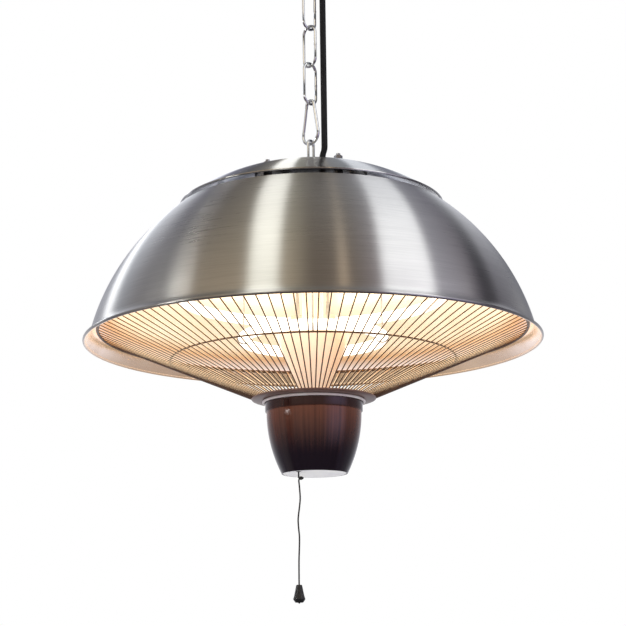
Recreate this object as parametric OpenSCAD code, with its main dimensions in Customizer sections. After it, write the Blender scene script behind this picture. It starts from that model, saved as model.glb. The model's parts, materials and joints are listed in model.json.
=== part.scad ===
// Hanging patio heater: a spun steel shade with two ring lamps behind a wire grille,
// a pull switch in the pot below, and a snap hook and chain up to a ceiling plate.
// Origin: centre of the ceiling plate's top face. +Z is up, so the heater hangs below zero.
// Heater pieces are drawn from the plane of the shade's rim and then lowered to it.

/* [Ceiling plate] */
// Diameter of the ceiling plate
plate_d = 80; // [72:1:110]
// Thickness of the ceiling plate
plate_t = 3; // [2:0.5:5]
// Circle that the three screw holes lie on
screw_pcd = 60; // [54:1:64]
// Diameter of a screw hole
screw_hole_d = 5; // [3:0.5:6]
// Wire of the ceiling eye
eye_wire_d = 3.2; // [2.5:0.1:4]
// Bend radius of the ceiling eye
eye_bend = 7; // [6:0.5:9]
// Height from the plate's underside to the first chain joint
eye_drop = 17.85; // [15:0.05:30]

/* [Chain] */
// Wire of a chain link
link_wire_d = 2.8; // [2:0.1:3.2]
// Outside width of a chain link
link_w = 18.5; // [16:0.5:22]
// Distance between two chain joints
link_pitch = 38.6; // [34:0.1:60]
// Clearance between two wires that hang in each other
wire_gap = 0.3; // [0.2:0.05:0.5]

/* [Snap hook] */
// Wire of the snap hook
hook_wire_d = 3.2; // [2.8:0.1:3.6]
// Bend radius at the top of the snap hook
hook_top_bend = 5; // [4.5:0.1:6]
// Bend radius at the bottom of the snap hook
hook_low_bend = 10; // [9:0.1:12]
// Distance between the joints above and below the snap hook
hook_pitch = 40.4; // [38:0.1:60]
// Diameter of the gate's pin
gate_pin_d = 1; // [0.8:0.1:1.2]

/* [Mains cable] */
// Diameter of the mains cable
cable_d = 6; // [5:0.5:7]
// Distance of the cable from the chain
cable_x = 13.2; // [12.8:0.1:16]
// Distance of the cable gland from the axis
gland_x = 11; // [10.8:0.1:13]

/* [Hanger] */
// Wire of the hanger
hanger_wire_d = 2.8; // [2.4:0.1:3]
// Bend radius of the hanger
hanger_bend = 3.8; // [3.8:0.1:4.4]
// Height of the lowest joint above the cap
hanger_rise = 26.55; // [24:0.05:40]
// Thickness of the hanger plate under the cap
hanger_plate_t = 2; // [1.5:0.5:3]
// Radius of the hanger plate
hanger_plate_r = 53; // [52:0.5:56]

/* [Shade] */
// Outside radius of the rolled rim
rim_r = 212.5; // [205:0.5:225]
// Radius of the bead rolled into the rim
bead_r = 1.5; // [1:0.1:2.5]
// Radius of the sphere that the shade is spun to
shade_sphere_r = 212; // [208:0.5:216]
// Depth of the sphere's centre below the rim
shade_centre_drop = 44; // [40:0.5:48]
// Height of the shade's top edge above the rim
shade_top_z = 126; // [122:0.5:130]
// Width of the flange turned in at the shade's top edge
shade_flange_w = 9.5; // [8:0.5:14]
// Wall of the shade, the cap and the reflector
sheet_t = 0.8; // [0.6:0.1:1.2]

/* [Cap] */
// Radius of the sphere that the cap is spun to
cap_sphere_r = 214; // [210:0.5:222]
// Radius of the cap's lower edge
cap_edge_r = 124.6; // [118:0.1:130]
// Air gap between the cap's edge and the shade's top edge
vent_gap = 5.4; // [4:0.1:9]
// Radius of the hem at the cap's edge
hem_r = 1; // [0.8:0.1:1.4]

/* [Studs] */
// Circle that the four studs stand on
stud_circle_r = 48; // [45:0.5:50]
// Turn of the stud circle
stud_turn = 32; // [26:1:38]
// Diameter of a stud
stud_d = 4; // [3:0.5:5]
// Outside diameter of a spacer
spacer_d = 8; // [7:0.5:9]
// Length of stud above the cap
stud_rise = 6.3; // [5.5:0.1:9]

/* [Hub] */
// Thickness of the hub
hub_t = 1.5; // [1:0.1:2.5]
// Radius of the hub's disc
hub_r = 58; // [56:0.5:64]
// Width of a hub arm
hub_arm_w = 22; // [16:1:30]

/* [Reflector] */
// Radius of the reflector's lower edge
reflector_edge_r = 201.3; // [196:0.1:201.6]
// Height of the reflector's lower edge above the rim
reflector_edge_z = 12.9; // [11:0.1:16]
// Radius of the sphere that the reflector is spun to
reflector_sphere_r = 276; // [268:1:290]
// Radius of the flat at the reflector's centre
reflector_flat_r = 58; // [54:0.5:60]

/* [Lamps] */
// Diameter of a quartz tube
tube_d = 10; // [8:0.5:11]
// Wall of a quartz tube
tube_wall = 1; // [0.8:0.1:1.5]
// Radius of the outer ring lamp
outer_lamp_r = 125; // [112:1:135]
// Height of the outer ring lamp above the rim
outer_lamp_z = 48; // [40:0.5:52]
// Radius of the inner ring lamp
inner_lamp_r = 65; // [60:0.5:75]
// Height of the inner ring lamp above the rim
inner_lamp_z = 5; // [0:0.5:30]
// Length of a ceramic end cap
lamp_cap_l = 18; // [14:0.5:22]
// Gap between the two ends of a ring lamp
lamp_gap = 12; // [8:0.5:16]
// Diameter of a lamp post
post_d = 3; // [2:0.5:4]

/* [Stem] */
// Outside diameter of the stem
stem_d = 20; // [16:1:22]
// Wall of the stem
stem_wall = 1.5; // [1:0.1:2.5]
// Radius of the upper edge of the cone round the stem
cone_r = 38; // [30:0.5:48]
// Height of the cone's upper edge above the rim
cone_top_z = 17; // [0:0.5:30]
// Radius of the cone's foot
cone_foot_r = 14; // [13:0.5:18]

/* [Grille] */
// Number of grille wires
grille_count = 112; // [72:8:120]
// Diameter of a grille wire
grille_wire_d = 1.4; // [1:0.1:1.8]
// Radius of the grille's outer ring
grille_ring_r = 199; // [194:0.5:199]
// Height of the outer ring above the rim
grille_ring_z = 10.6; // [8:0.1:11]
// Diameter of the outer ring's wire
grille_ring_d = 3; // [2:0.1:3.2]
// Radius of the grille's middle ring
mid_ring_r = 132; // [110:0.1:160]
// Diameter of the middle ring's wire
mid_ring_d = 1.6; // [1.2:0.1:2.6]
// Drop of the grille from its outer ring to the collar
grille_drop = 60.1; // [50:0.1:66]
// Outside radius of the collar
collar_r = 57.5; // [55:0.5:66]
// Width of the sloping edge of the collar
collar_edge_w = 3.5; // [3:0.5:12]
// Overlap of a grille wire on the collar
wire_lap = 3; // [1:0.5:3]
// Thickness of the collar
collar_t = 1; // [0.8:0.1:1.5]
// Wire of the bright trim ring
trim_d = 2.6; // [1.6:0.1:3]

/* [Pot] */
// Radius of the band round the pot's neck
neck_r = 45; // [43:0.1:46]
// Height of the neck band
neck_h = 10.9; // [6:0.1:13]
// Step from the neck band to the pot's side
neck_step = 1.2; // [0.8:0.1:2]
// Radius of the curve down the pot's side
pot_side_r = 125; // [110:1:140]
// Height of the pot's side below the band
pot_side_h = 56.8; // [52:0.1:58]
// Wall of the pot
pot_wall = 2; // [1.6:0.1:2.6]
// Width of the pot's lower edge outside the cover
pot_edge_w = 0.9; // [0.7:0.1:1.4]
// Thickness of the bottom cover
cover_t = 2; // [1.5:0.1:3]

/* [Pull switch] */
// Side offset of the pull cord from the axis
pull_x = -14.5; // [-16:0.5:-13]
// Front offset of the pull cord from the axis
pull_y = -20; // [-20.5:0.5:-18]
// Diameter of the pull cord
pull_d = 1.4; // [1:0.1:1.6]
// Travel of the pull switch
pull_travel = 8; // [4:0.5:8]
// Width of the switch body
switch_w = 16; // [14:0.5:17]
// Depth of the switch body
switch_depth = 14; // [12:0.5:15]
// Height of the switch body
switch_h = 24; // [22:0.5:26]
// Length of the knob on the pull cord
knob_h = 15.5; // [12:0.5:22]
// Largest diameter of the knob
knob_d = 11; // [8:0.5:13]
// Radius of the knot under the cover
knot_r = 2.2; // [1.8:0.1:2.6]

/* [Hidden] */
$fn = 64;

// Heights from the ceiling
top_joint_z = -plate_t - eye_drop;
mid_joint_z = top_joint_z - link_pitch;
low_joint_z = mid_joint_z - link_pitch;
hook_joint_z = low_joint_z - link_pitch;
hanger_joint_z = hook_joint_z - hook_pitch;

// Heights from the rim
cap_edge_z = shade_top_z + vent_gap;
cap_centre_z = cap_edge_z - sqrt(pow(cap_sphere_r, 2) - pow(cap_edge_r, 2));
cap_top_z = cap_centre_z + cap_sphere_r;
rim_z = hanger_joint_z - hanger_rise - cap_top_z;
seat_gap = 0.1;
cap_under_z = cap_centre_z + sqrt(pow(cap_sphere_r - sheet_t, 2) - pow(stud_circle_r + spacer_d / 2, 2));
cap_over_z = cap_centre_z + sqrt(pow(cap_sphere_r, 2) - pow(stud_circle_r, 2));
washer_h = 1.2;
hanger_plate_z = cap_under_z - washer_h - hanger_plate_t - seat_gap;
shade_flange_z = shade_top_z - sheet_t;
hub_z = shade_flange_z - hub_t;
reflector_centre_z = reflector_edge_z - sqrt(pow(reflector_sphere_r, 2) - pow(reflector_edge_r, 2));
reflector_flat_z = reflector_centre_z + sqrt(pow(reflector_sphere_r, 2) - pow(reflector_flat_r, 2));
reflector_under_z = reflector_flat_z - sheet_t;

// Slope of the grille, and what lies on it
grille_slope = grille_drop / (grille_ring_r - collar_r);
grille_lean = atan(grille_slope);
floor_r = collar_r - collar_edge_w;
collar_gap = (grille_wire_d + collar_t) / 2 / cos(grille_lean) + seat_gap;
floor_z = grille_z(floor_r) - collar_gap;
pot_top_z = floor_z - collar_t / 2 - seat_gap;
pot_side_z = pot_top_z - neck_h;
pot_low_z = pot_side_z - pot_side_h;
pot_side_top_r = neck_r - neck_step;
pot_low_r = pot_r(pot_low_z);
cover_r = pot_low_r - pot_edge_w;
cover_z = pot_low_z;

// How far and how much thinner a straight wire runs inside the bend that it meets
bend_lap = 0.2;
wire_slim = 0.02;

// Pull switch
m3_across = 5.5;
m4_across = 7;
nut_turn = 30;
running_gap = 0.1;
pin_gap = 0.06;
plunger_r = 3;
rod_r = 1.2;
switch_top_z = pot_top_z - 21;
switch_low_z = switch_top_z - switch_h;
plunger_h = 6;
plunger_top_z = switch_top_z - 4;
rod_low_z = switch_low_z - 3;
knot_z = cover_z - 6;
cord_top_z = knot_z - knot_r;
// The pull cord hangs with the slight waves that its packing left in it.
pull_route = [
    [0, 0, 0], [0.3, 0, -2], [0.8, 0, -8], [1.2, 0, -16], [0.4, 0, -24], [-0.8, 0, -34],
    [-0.5, 0, -42], [0.2, 0, -50], [0, 0, -60], [-0.4, 0, -70], [-0.5, 0, -80], [-0.5, 0, -92],
];
pull_end = pull_route[len(pull_route) - 1];
knob_top_z = cord_top_z + pull_end.z;
knob_x = pull_end.x;

// Height of a grille wire's centre at a radius
function grille_z(r) = grille_ring_z - grille_slope * (grille_ring_r - r);
// Radius of a sphere's section at a height above the sphere's centre
function section_r(sphere_r, h) = sqrt(pow(sphere_r, 2) - pow(h, 2));
// Radius of the pot's side at a height
function pot_r(z) = pot_side_top_r - pot_side_r + sqrt(pow(pot_side_r, 2) - pow(pot_side_z - z, 2));
// Unit vector
function unit(v) = v / norm(v);
// Direction of a route at one of its points
function heading(route, i) =
    unit(route[min(i + 1, len(route) - 1)] - route[max(i - 1, 0)]);

// Puts a heater piece at the height that the chain gives it
module at_rim() {
    translate([0, 0, rim_z]) children();
}

// Round tube of triangles along a route that bends square to one direction, with square ends
module swept(route, d, sides, bend_axis = [0, 1, 0]) {
    rings = [
        for (i = [0:len(route) - 1])
            let (t = heading(route, i), u = unit(cross(t, bend_axis)), v = cross(u, t))
                for (k = [0:sides - 1]) let (a = 360 * k / sides)
                    route[i] + d / 2 * (cos(a) * u + sin(a) * v)
    ];
    last = (len(route) - 1) * sides;
    faces = concat(
        [[for (k = [0:sides - 1]) sides - 1 - k]],
        [for (i = [0:len(route) - 2]) for (k = [0:sides - 1])
            let (a = i * sides + k, b = i * sides + (k + 1) % sides) [a, b, b + sides]],
        [for (i = [0:len(route) - 2]) for (k = [0:sides - 1])
            let (a = i * sides + k, b = i * sides + (k + 1) % sides) [a, b + sides, a + sides]],
        [[for (k = [0:sides - 1]) last + k]]
    );
    polyhedron(points = rings, faces = faces);
}

// Straight round rod from one point to another
module rod(from, to, d) {
    run = to - from;
    translate(from)
        rotate([0, acos(run.z / norm(run)), atan2(run.y, run.x)])
            cylinder(h = norm(run), d = d);
}

// Straight stretch of a bent wire, which runs a little way inside the bends at its ends
module wire_leg(from, to, d) {
    lap = bend_lap * unit(to - from);
    rod(from - lap, to + lap, d - wire_slim);
}

// Part of a ring of wire in the XZ plane, from one angle to another
module wire_arc(r, d, from, to) {
    rotate([90, 0, 0])
        rotate([0, 0, from])
            rotate_extrude(angle = to - from) translate([r, 0]) circle(d = d);
}

// Full ring of wire about Z
module wire_ring(r, d) {
    rotate_extrude($fn = 180) translate([r, 0]) circle(d = d, $fn = 32);
}

// Part of a spherical shell between two heights
module bowl(sphere_r, centre_z, wall, low, high) {
    intersection() {
        translate([0, 0, centre_z])
            difference() {
                sphere(r = sphere_r, $fn = 160);
                sphere(r = sphere_r - wall, $fn = 160);
            }
        translate([0, 0, low]) cylinder(h = high - low, r = sphere_r + 1);
    }
}

// Hexagonal nut with a round bore
module nut(across, h, bore) {
    difference() {
        cylinder(h = h, d = across / cos(30), $fn = 6);
        translate([0, 0, -1]) cylinder(h = h + 2, d = bore);
    }
}

// Repeats a piece at the four studs
module at_studs() {
    for (k = [0:3]) rotate([0, 0, stud_turn + 90 * k]) translate([stud_circle_r, 0, 0]) children();
}

// Upright tube
module sleeve(d, bore, h) {
    difference() {
        cylinder(h = h, d = d);
        translate([0, 0, -1]) cylinder(h = h + 2, d = bore);
    }
}

eye_turn = -45;
module ceiling_plate() {
    color("silver")
        difference() {
            translate([0, 0, -plate_t]) cylinder(h = plate_t, d = plate_d, $fn = 120);
            for (k = [0:2]) rotate([0, 0, 90 + 120 * k]) translate([screw_pcd / 2, 0, -plate_t - 1])
                cylinder(h = plate_t + 2, d = screw_hole_d);
            translate([cable_x, 0, -plate_t - 1]) cylinder(h = plate_t + 2, d = cable_d + 0.6);
        }
}

module ceiling_eye() {
    crown_z = top_joint_z - (eye_wire_d + wire_gap) / 2;
    bend_z = crown_z + eye_bend;
    color("silver")
        rotate([0, 0, eye_turn]) {
            translate([0, 0, bend_z]) wire_arc(eye_bend, eye_wire_d, 180, 360);
            for (s = [-1, 1])
                wire_leg([s * eye_bend, 0, bend_z], [s * eye_bend, 0, -plate_t - bend_lap], eye_wire_d);
        }
}

grip_d = 13;
grip_h = 8;
grip_nose_h = 6;
module cord_grip() {
    color("dimgray")
        translate([cable_x, 0, -plate_t - grip_h - grip_nose_h])
            difference() {
                union() {
                    translate([0, 0, grip_nose_h]) cylinder(h = grip_h, d = grip_d);
                    cylinder(h = grip_nose_h, d1 = grip_d - 4, d2 = grip_d - 1);
                }
                translate([0, 0, -1]) cylinder(h = grip_h + grip_nose_h + 2, d = cable_d + 0.2);
            }
}

// Straight stretch of the mains cable between two heights
pivot_gap = 0.4;
cable_sides = 12;
module cable_run(high, low) {
    steps = 3;
    route = [for (i = [0:steps]) [cable_x, 0, high + (low - high) * i / steps]];
    color("black") swept(route, cable_d, cable_sides);
}

module cable_ceiling() {
    cable_run(-0.5, top_joint_z + pivot_gap);
}

module cable_link_top() {
    cable_run(top_joint_z - pivot_gap, mid_joint_z + pivot_gap);
}

module cable_link_mid() {
    cable_run(mid_joint_z - pivot_gap, low_joint_z + pivot_gap);
}

module cable_link_low() {
    cable_run(low_joint_z - pivot_gap, hook_joint_z + pivot_gap);
}

module cable_hook() {
    cable_run(hook_joint_z - pivot_gap, hanger_joint_z + pivot_gap);
}

// Chain link below a joint, its plane turned about Z
module chain_link(joint_z, turn) {
    bend = (link_w - link_wire_d) / 2;
    crown = (link_wire_d + wire_gap) / 2;
    high = joint_z + crown - bend;
    low = joint_z - link_pitch - crown + bend;
    color("lightgray")
        rotate([0, 0, turn]) {
            translate([0, 0, high]) wire_arc(bend, link_wire_d, 0, 180);
            translate([0, 0, low]) wire_arc(bend, link_wire_d, 180, 360);
            for (s = [-1, 1]) wire_leg([s * bend, 0, low], [s * bend, 0, high], link_wire_d);
        }
}

module chain_link_top() {
    chain_link(top_joint_z, 45);
}

module chain_link_mid() {
    chain_link(mid_joint_z, -45);
}

module chain_link_low() {
    chain_link(low_joint_z, 45);
}

// Outline of the snap hook: two bends and the lines that touch both
hook_turn = -45;
hook_high = hook_joint_z + (hook_wire_d + wire_gap) / 2 - hook_top_bend;
hook_low = hanger_joint_z - (hook_wire_d + wire_gap) / 2 + hook_low_bend;
hook_lean = asin((hook_low_bend - hook_top_bend) / (hook_high - hook_low));
hook_out = [cos(hook_lean), 0, sin(hook_lean)];
hook_out_left = [-cos(hook_lean), 0, sin(hook_lean)];
gate_top = [0, 0, hook_high] + hook_top_bend * hook_out_left;
gate_low = [0, 0, hook_low] + hook_low_bend * hook_out_left;
gate_run = unit(gate_low - gate_top);
gate_l = norm(gate_low - gate_top);
// The gate turns on a pin through a flat tongue of the frame
tongue_l = 4;
tongue_t = 1.2;
pin_at = 2.2;
nose_l = 1.5;
nose_gap = 0.3;
gate_start = 0.7;
gate_wire_d = hook_wire_d - 0.2;
gate_slot_w = tongue_t + 0.3;
gate_slot_l = tongue_l + 0.6;

// Draws along the gate: Z runs from the gate's top down to its nose
module along_gate() {
    rotate([0, 0, hook_turn])
        translate(gate_top)
            rotate([0, acos(gate_run.z), 180])
                children();
}

module pin_hole(d, length) {
    translate([0, length / 2, pin_at]) rotate([90, 0, 0]) cylinder(h = length, d = d);
}

module hook_frame() {
    color("lightgray")
        difference() {
            union() {
                rotate([0, 0, hook_turn]) {
                    translate([0, 0, hook_high])
                        wire_arc(hook_top_bend, hook_wire_d, hook_lean, 180 - hook_lean);
                    translate([0, 0, hook_low])
                        wire_arc(hook_low_bend, hook_wire_d, 180 - hook_lean, 360 + hook_lean);
                    wire_leg([0, 0, hook_high] + hook_top_bend * hook_out,
                        [0, 0, hook_low] + hook_low_bend * hook_out, hook_wire_d);
                }
                along_gate() {
                    translate([0, 0, gate_l - nose_l])
                        cylinder(h = nose_l + bend_lap, d = hook_wire_d - wire_slim);
                    intersection() {
                        translate([0, 0, -bend_lap]) cylinder(h = tongue_l + bend_lap, d = hook_wire_d - wire_slim);
                        translate([-hook_wire_d, -tongue_t / 2, -1]) cube([2 * hook_wire_d, tongue_t, tongue_l + 1]);
                    }
                }
            }
            along_gate() pin_hole(gate_pin_d, 2 * hook_wire_d);
        }
}

module gate_pin() {
    color("gray") along_gate() pin_hole(gate_pin_d, gate_wire_d);
}

module hook_gate() {
    color("silver")
        along_gate()
            difference() {
                translate([0, 0, gate_start])
                    cylinder(h = gate_l - nose_l - nose_gap - gate_start, d = gate_wire_d);
                translate([-hook_wire_d, -gate_slot_w / 2, -1])
                    cube([2 * hook_wire_d, gate_slot_w, gate_slot_l + 1]);
                pin_hole(gate_pin_d + 2 * pin_gap, 2 * hook_wire_d);
            }
}

// Hanger: an inverted U whose legs pass the cap and the hanger plate
hanger_turn = 50;
hanger_leg_low = hanger_plate_z - 3.2;
module hanger() {
    crown_z = hanger_rise + cap_top_z + (hanger_wire_d + wire_gap) / 2;
    bend_z = crown_z - hanger_bend;
    color("lightgray")
        at_rim()
            rotate([0, 0, hanger_turn]) {
                translate([0, 0, bend_z]) wire_arc(hanger_bend, hanger_wire_d, 0, 180);
                for (s = [-1, 1])
                    wire_leg([s * hanger_bend, 0, hanger_leg_low], [s * hanger_bend, 0, bend_z], hanger_wire_d);
            }
}

module hanger_nuts() {
    nut_h = 2.4;
    color("silver")
        at_rim()
            rotate([0, 0, hanger_turn])
                for (s = [-1, 1]) for (z = [hanger_plate_z - nut_h, hanger_plate_z + hanger_plate_t])
                    translate([s * hanger_bend, 0, z])
                        rotate([0, 0, nut_turn]) nut(m3_across, nut_h, hanger_wire_d);
}

module leg_holes(d) {
    rotate([0, 0, hanger_turn])
        for (s = [-1, 1]) translate([s * hanger_bend, 0, 0]) cylinder(h = 2 * cap_top_z, d = d);
}

module hanger_plate() {
    color("gray")
        at_rim()
            difference() {
                translate([0, 0, hanger_plate_z]) cylinder(h = hanger_plate_t, r = hanger_plate_r);
                leg_holes(hanger_wire_d + 0.4);
                at_studs() cylinder(h = 2 * cap_top_z, d = stud_d + 0.4);
                translate([gland_x, 0, 0]) cylinder(h = 2 * cap_top_z, d = cable_d + 3);
            }
}

gland_thread_d = 9.6;
module top_cap() {
    color("silver")
        at_rim() {
            difference() {
                bowl(cap_sphere_r, cap_centre_z, sheet_t, cap_edge_z, cap_top_z + 1);
                leg_holes(hanger_wire_d + 0.6);
                at_studs() cylinder(h = 2 * cap_top_z, d = stud_d + 0.4);
                translate([gland_x, 0, 0]) cylinder(h = 2 * cap_top_z, d = gland_thread_d + 0.4);
            }
            translate([0, 0, cap_edge_z]) wire_ring(cap_edge_r - hem_r / 2, 2 * hem_r);
        }
}

module cap_nuts() {
    nut_h = 3.2;
    color("dimgray")
        at_rim()
            at_studs() {
                translate([0, 0, cap_over_z + 0.9]) nut(m4_across, nut_h, stud_d);
                translate([0, 0, hanger_plate_z + hanger_plate_t]) sleeve(spacer_d, stud_d + 0.4, washer_h);
            }
}

module studs() {
    low = reflector_under_z - 4;
    color("dimgray")
        at_rim()
            at_studs() translate([0, 0, low]) cylinder(h = cap_over_z + stud_rise - low, d = stud_d);
}

module upper_spacers() {
    low = hub_z + hub_t;
    color("dimgray")
        at_rim()
            at_studs() translate([0, 0, low]) sleeve(spacer_d, stud_d + 0.4, hanger_plate_z - low);
}

module lower_spacers() {
    color("silver")
        at_rim()
            at_studs() translate([0, 0, reflector_flat_z])
                sleeve(spacer_d, stud_d + 0.4, hub_z - reflector_flat_z);
}

rivet_circle_r = section_r(shade_sphere_r, shade_top_z + shade_centre_drop) - shade_flange_w / 2;
rivet_d = 3;
rivet_hole_d = rivet_d + 0.2;
rivet_head_d = 5.5;
rivet_head_h = 1.2;
module hub() {
    reach = rivet_circle_r + 3.5;
    color("gray")
        at_rim()
            difference() {
                translate([0, 0, hub_z])
                    union() {
                        cylinder(h = hub_t, r = hub_r);
                        for (k = [0:3]) rotate([0, 0, stud_turn + 90 * k])
                            translate([0, -hub_arm_w / 2, 0]) cube([reach, hub_arm_w, hub_t]);
                    }
                at_studs() cylinder(h = 2 * cap_top_z, d = stud_d + 0.4);
                cylinder(h = 2 * cap_top_z, d = stem_d + 0.4);
                for (k = [0:3]) rotate([0, 0, stud_turn + 90 * k])
                    translate([rivet_circle_r, 0, 0]) cylinder(h = 2 * cap_top_z, d = rivet_hole_d);
            }
}

module hub_rivets() {
    color("silver")
        at_rim()
            for (k = [0:3]) rotate([0, 0, stud_turn + 90 * k])
                translate([rivet_circle_r, 0, 0]) {
                    translate([0, 0, hub_z - 1]) cylinder(h = hub_t + sheet_t + 2, d = rivet_d);
                    translate([0, 0, hub_z - rivet_head_h]) cylinder(h = rivet_head_h, d = rivet_head_d);
                    translate([0, 0, shade_top_z]) cylinder(h = rivet_head_h, d = rivet_head_d);
                }
}

module shade() {
    skirt_z = 6;
    skirt_r = section_r(shade_sphere_r, skirt_z + shade_centre_drop);
    top_r = section_r(shade_sphere_r, shade_top_z + shade_centre_drop);
    bead_c = rim_r - bead_r;
    color("silver")
        at_rim()
            difference() {
                union() {
                    bowl(shade_sphere_r, -shade_centre_drop, sheet_t, skirt_z - 0.5, shade_top_z);
                    rotate_extrude($fn = 180)
                        polygon([
                            [skirt_r - 0.7, skirt_z], [skirt_r - 0.1, skirt_z],
                            [bead_c + 0.5, 0.7], [bead_c - 0.3, -0.2],
                        ]);
                    wire_ring(bead_c, 2 * bead_r);
                    translate([0, 0, shade_flange_z])
                        difference() {
                            cylinder(h = sheet_t, r = top_r - 0.1, $fn = 180);
                            translate([0, 0, -1])
                                cylinder(h = sheet_t + 2, r = top_r - shade_flange_w, $fn = 180);
                        }
                }
                for (k = [0:3]) rotate([0, 0, stud_turn + 90 * k])
                    translate([rivet_circle_r, 0, 0]) cylinder(h = 2 * cap_top_z, d = rivet_hole_d);
            }
}

// Places the posts and leads that pass through the reflector share with it
module at_posts(ring_r, gap_turn) {
    reach = cap_reach(ring_r);
    for (s = [-1, 1]) rotate([0, 0, gap_turn + s * reach]) translate([ring_r, 0, 0]) children();
}

module reflector() {
    color("goldenrod")
        at_rim()
            difference() {
                union() {
                    bowl(reflector_sphere_r, reflector_centre_z, sheet_t, reflector_edge_z, reflector_flat_z);
                    translate([0, 0, reflector_under_z]) cylinder(h = sheet_t, r = reflector_flat_r - 0.2);
                    translate([0, 0, reflector_edge_z]) wire_ring(reflector_edge_r - 0.6, 2);
                }
                at_studs() cylinder(h = 2 * cap_top_z, d = stud_d + 0.4);
                cylinder(h = 2 * cap_top_z, d = stem_d + 0.4);
                at_posts(outer_lamp_r, outer_gap_turn) cylinder(h = 2 * cap_top_z, d = post_d + 0.4);
                at_posts(inner_lamp_r, inner_gap_turn) cylinder(h = 2 * cap_top_z, d = post_d + 0.4);
            }
}

module reflector_nuts() {
    nut_h = 3.2;
    color("silver")
        at_rim() at_studs() translate([0, 0, reflector_under_z - nut_h]) nut(m4_across, nut_h, stud_d);
}

stem_low_z = pot_top_z - pot_wall - 5;
stem_high_z = hub_z + hub_t + 5;
stem_nut_h = 4;
cone_foot_z = floor_z + collar_t / 2 + stem_nut_h + 3;
cone_mouth_r = stem_d / 2 + 1;
// The stem carries a sheet cone, closed below and open by a narrow gap above
module stem() {
    lean = (cone_r - cone_foot_r) / (cone_top_z - cone_foot_z);
    wall = sheet_t * sqrt(1 + lean * lean);
    color("goldenrod")
        at_rim() {
            translate([0, 0, stem_low_z])
                sleeve(stem_d, stem_d - 2 * stem_wall, stem_high_z - stem_low_z);
            rotate_extrude($fn = 120)
                polygon([
                    [stem_d / 2 - 0.2, cone_foot_z], [cone_foot_r, cone_foot_z], [cone_r, cone_top_z],
                    [cone_mouth_r, cone_top_z], [cone_mouth_r, cone_top_z - sheet_t],
                    [cone_r - wall - lean * sheet_t, cone_top_z - sheet_t],
                    [cone_foot_r - wall + lean * sheet_t, cone_foot_z + sheet_t],
                    [stem_d / 2 - 0.2, cone_foot_z + sheet_t],
                ]);
        }
}

module stem_nuts() {
    across = stem_d + 6;
    color("silver")
        at_rim()
            for (z = [
                hub_z + hub_t, hub_z - stem_nut_h, reflector_under_z - stem_nut_h,
                floor_z + collar_t / 2, pot_top_z - pot_wall - stem_nut_h,
            ])
                translate([0, 0, z]) nut(across, stem_nut_h, stem_d);
}

gland_flange_d = 12.4;
gland_flange_h = 3;
gland_dome_d = 11.2;
gland_mouth_d = 8.5;
gland_dome_h = 6;
gland_nut_w = 12;
gland_seat_z = cap_centre_z + sqrt(pow(cap_sphere_r, 2) - pow(gland_x - gland_flange_d / 2, 2));
module cable_gland() {
    low = gland_seat_z - 6;
    color("black")
        at_rim()
            translate([gland_x, 0, 0])
                difference() {
                    union() {
                        translate([0, 0, low]) cylinder(h = gland_seat_z - low + 1, d = gland_thread_d);
                        translate([0, 0, gland_seat_z + seat_gap])
                            cylinder(h = gland_flange_h, d = gland_flange_d);
                        translate([0, 0, gland_seat_z + seat_gap + gland_flange_h])
                            cylinder(h = gland_dome_h, d1 = gland_dome_d, d2 = gland_mouth_d);
                    }
                    translate([0, 0, low - 1])
                        cylinder(h = gland_top_z - low + 2, d = cable_d + 0.2);
                }
}

module gland_nut() {
    nut_h = 3;
    corner_r = gland_nut_w / 2 / cos(30);
    under_z = cap_centre_z + sqrt(pow(cap_sphere_r - sheet_t, 2) - pow(gland_x + corner_r, 2));
    color("dimgray")
        at_rim()
            translate([gland_x, 0, under_z - nut_h - seat_gap])
                rotate([0, 0, nut_turn]) nut(gland_nut_w, nut_h, gland_thread_d);
}

// The cable leans in a little from the chain to its gland
gland_top_z = gland_seat_z + seat_gap + gland_flange_h + gland_dome_h;
module cable_heater() {
    high = hanger_rise + cap_top_z - pivot_gap;
    low = gland_seat_z - 5;
    route = [
        [cable_x, 0, high], [cable_x - 0.2, 0, high - 6],
        [gland_x + 0.4, 0, gland_top_z + 4], [gland_x, 0, gland_top_z], [gland_x, 0, low],
    ];
    color("black") at_rim() swept(route, cable_d, cable_sides);
}

box_w = 72;
box_depth = 36;
box_wall = 1.2;
box_h = 25;
box_top_z = hub_z + hub_t + box_h;
block_x = -24;
block_w = 16;
block_depth = 24;
block_h = 14;
block_screw_y = 8;
block_screw_d = 4;
module cable_tail() {
    start = gland_seat_z - 5.2;
    end_z = hub_z + hub_t + block_h;
    color("black")
        at_rim()
            swept([
                [gland_x, 0, start], [gland_x, 0, box_top_z - 2], [gland_x - 3, 0, box_top_z - 6],
                [block_x + 4, 0, end_z + 5], [block_x, 0, end_z + 3], [block_x, 0, end_z + seat_gap],
            ], cable_d, cable_sides);
}

module terminal_box() {
    color("dimgray")
        at_rim()
            difference() {
                translate([-box_w / 2, -box_depth / 2, hub_z + hub_t])
                    difference() {
                        cube([box_w, box_depth, box_h]);
                        translate([box_wall, box_wall, -1])
                            cube([box_w - 2 * box_wall, box_depth - 2 * box_wall, box_h - box_wall + 1]);
                    }
                translate([gland_x, 0, box_top_z - 2 * box_wall]) cylinder(h = 4 * box_wall, d = cable_d + 1);
            }
}

module terminal_block() {
    color("ivory")
        at_rim()
            difference() {
                translate([block_x - block_w / 2, -block_depth / 2, hub_z + hub_t])
                    cube([block_w, block_depth, block_h]);
                for (s = [-1, 1]) translate([block_x, s * block_screw_y, hub_z + hub_t + block_h - 4])
                    cylinder(h = 5, d = block_screw_d);
            }
}

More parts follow.
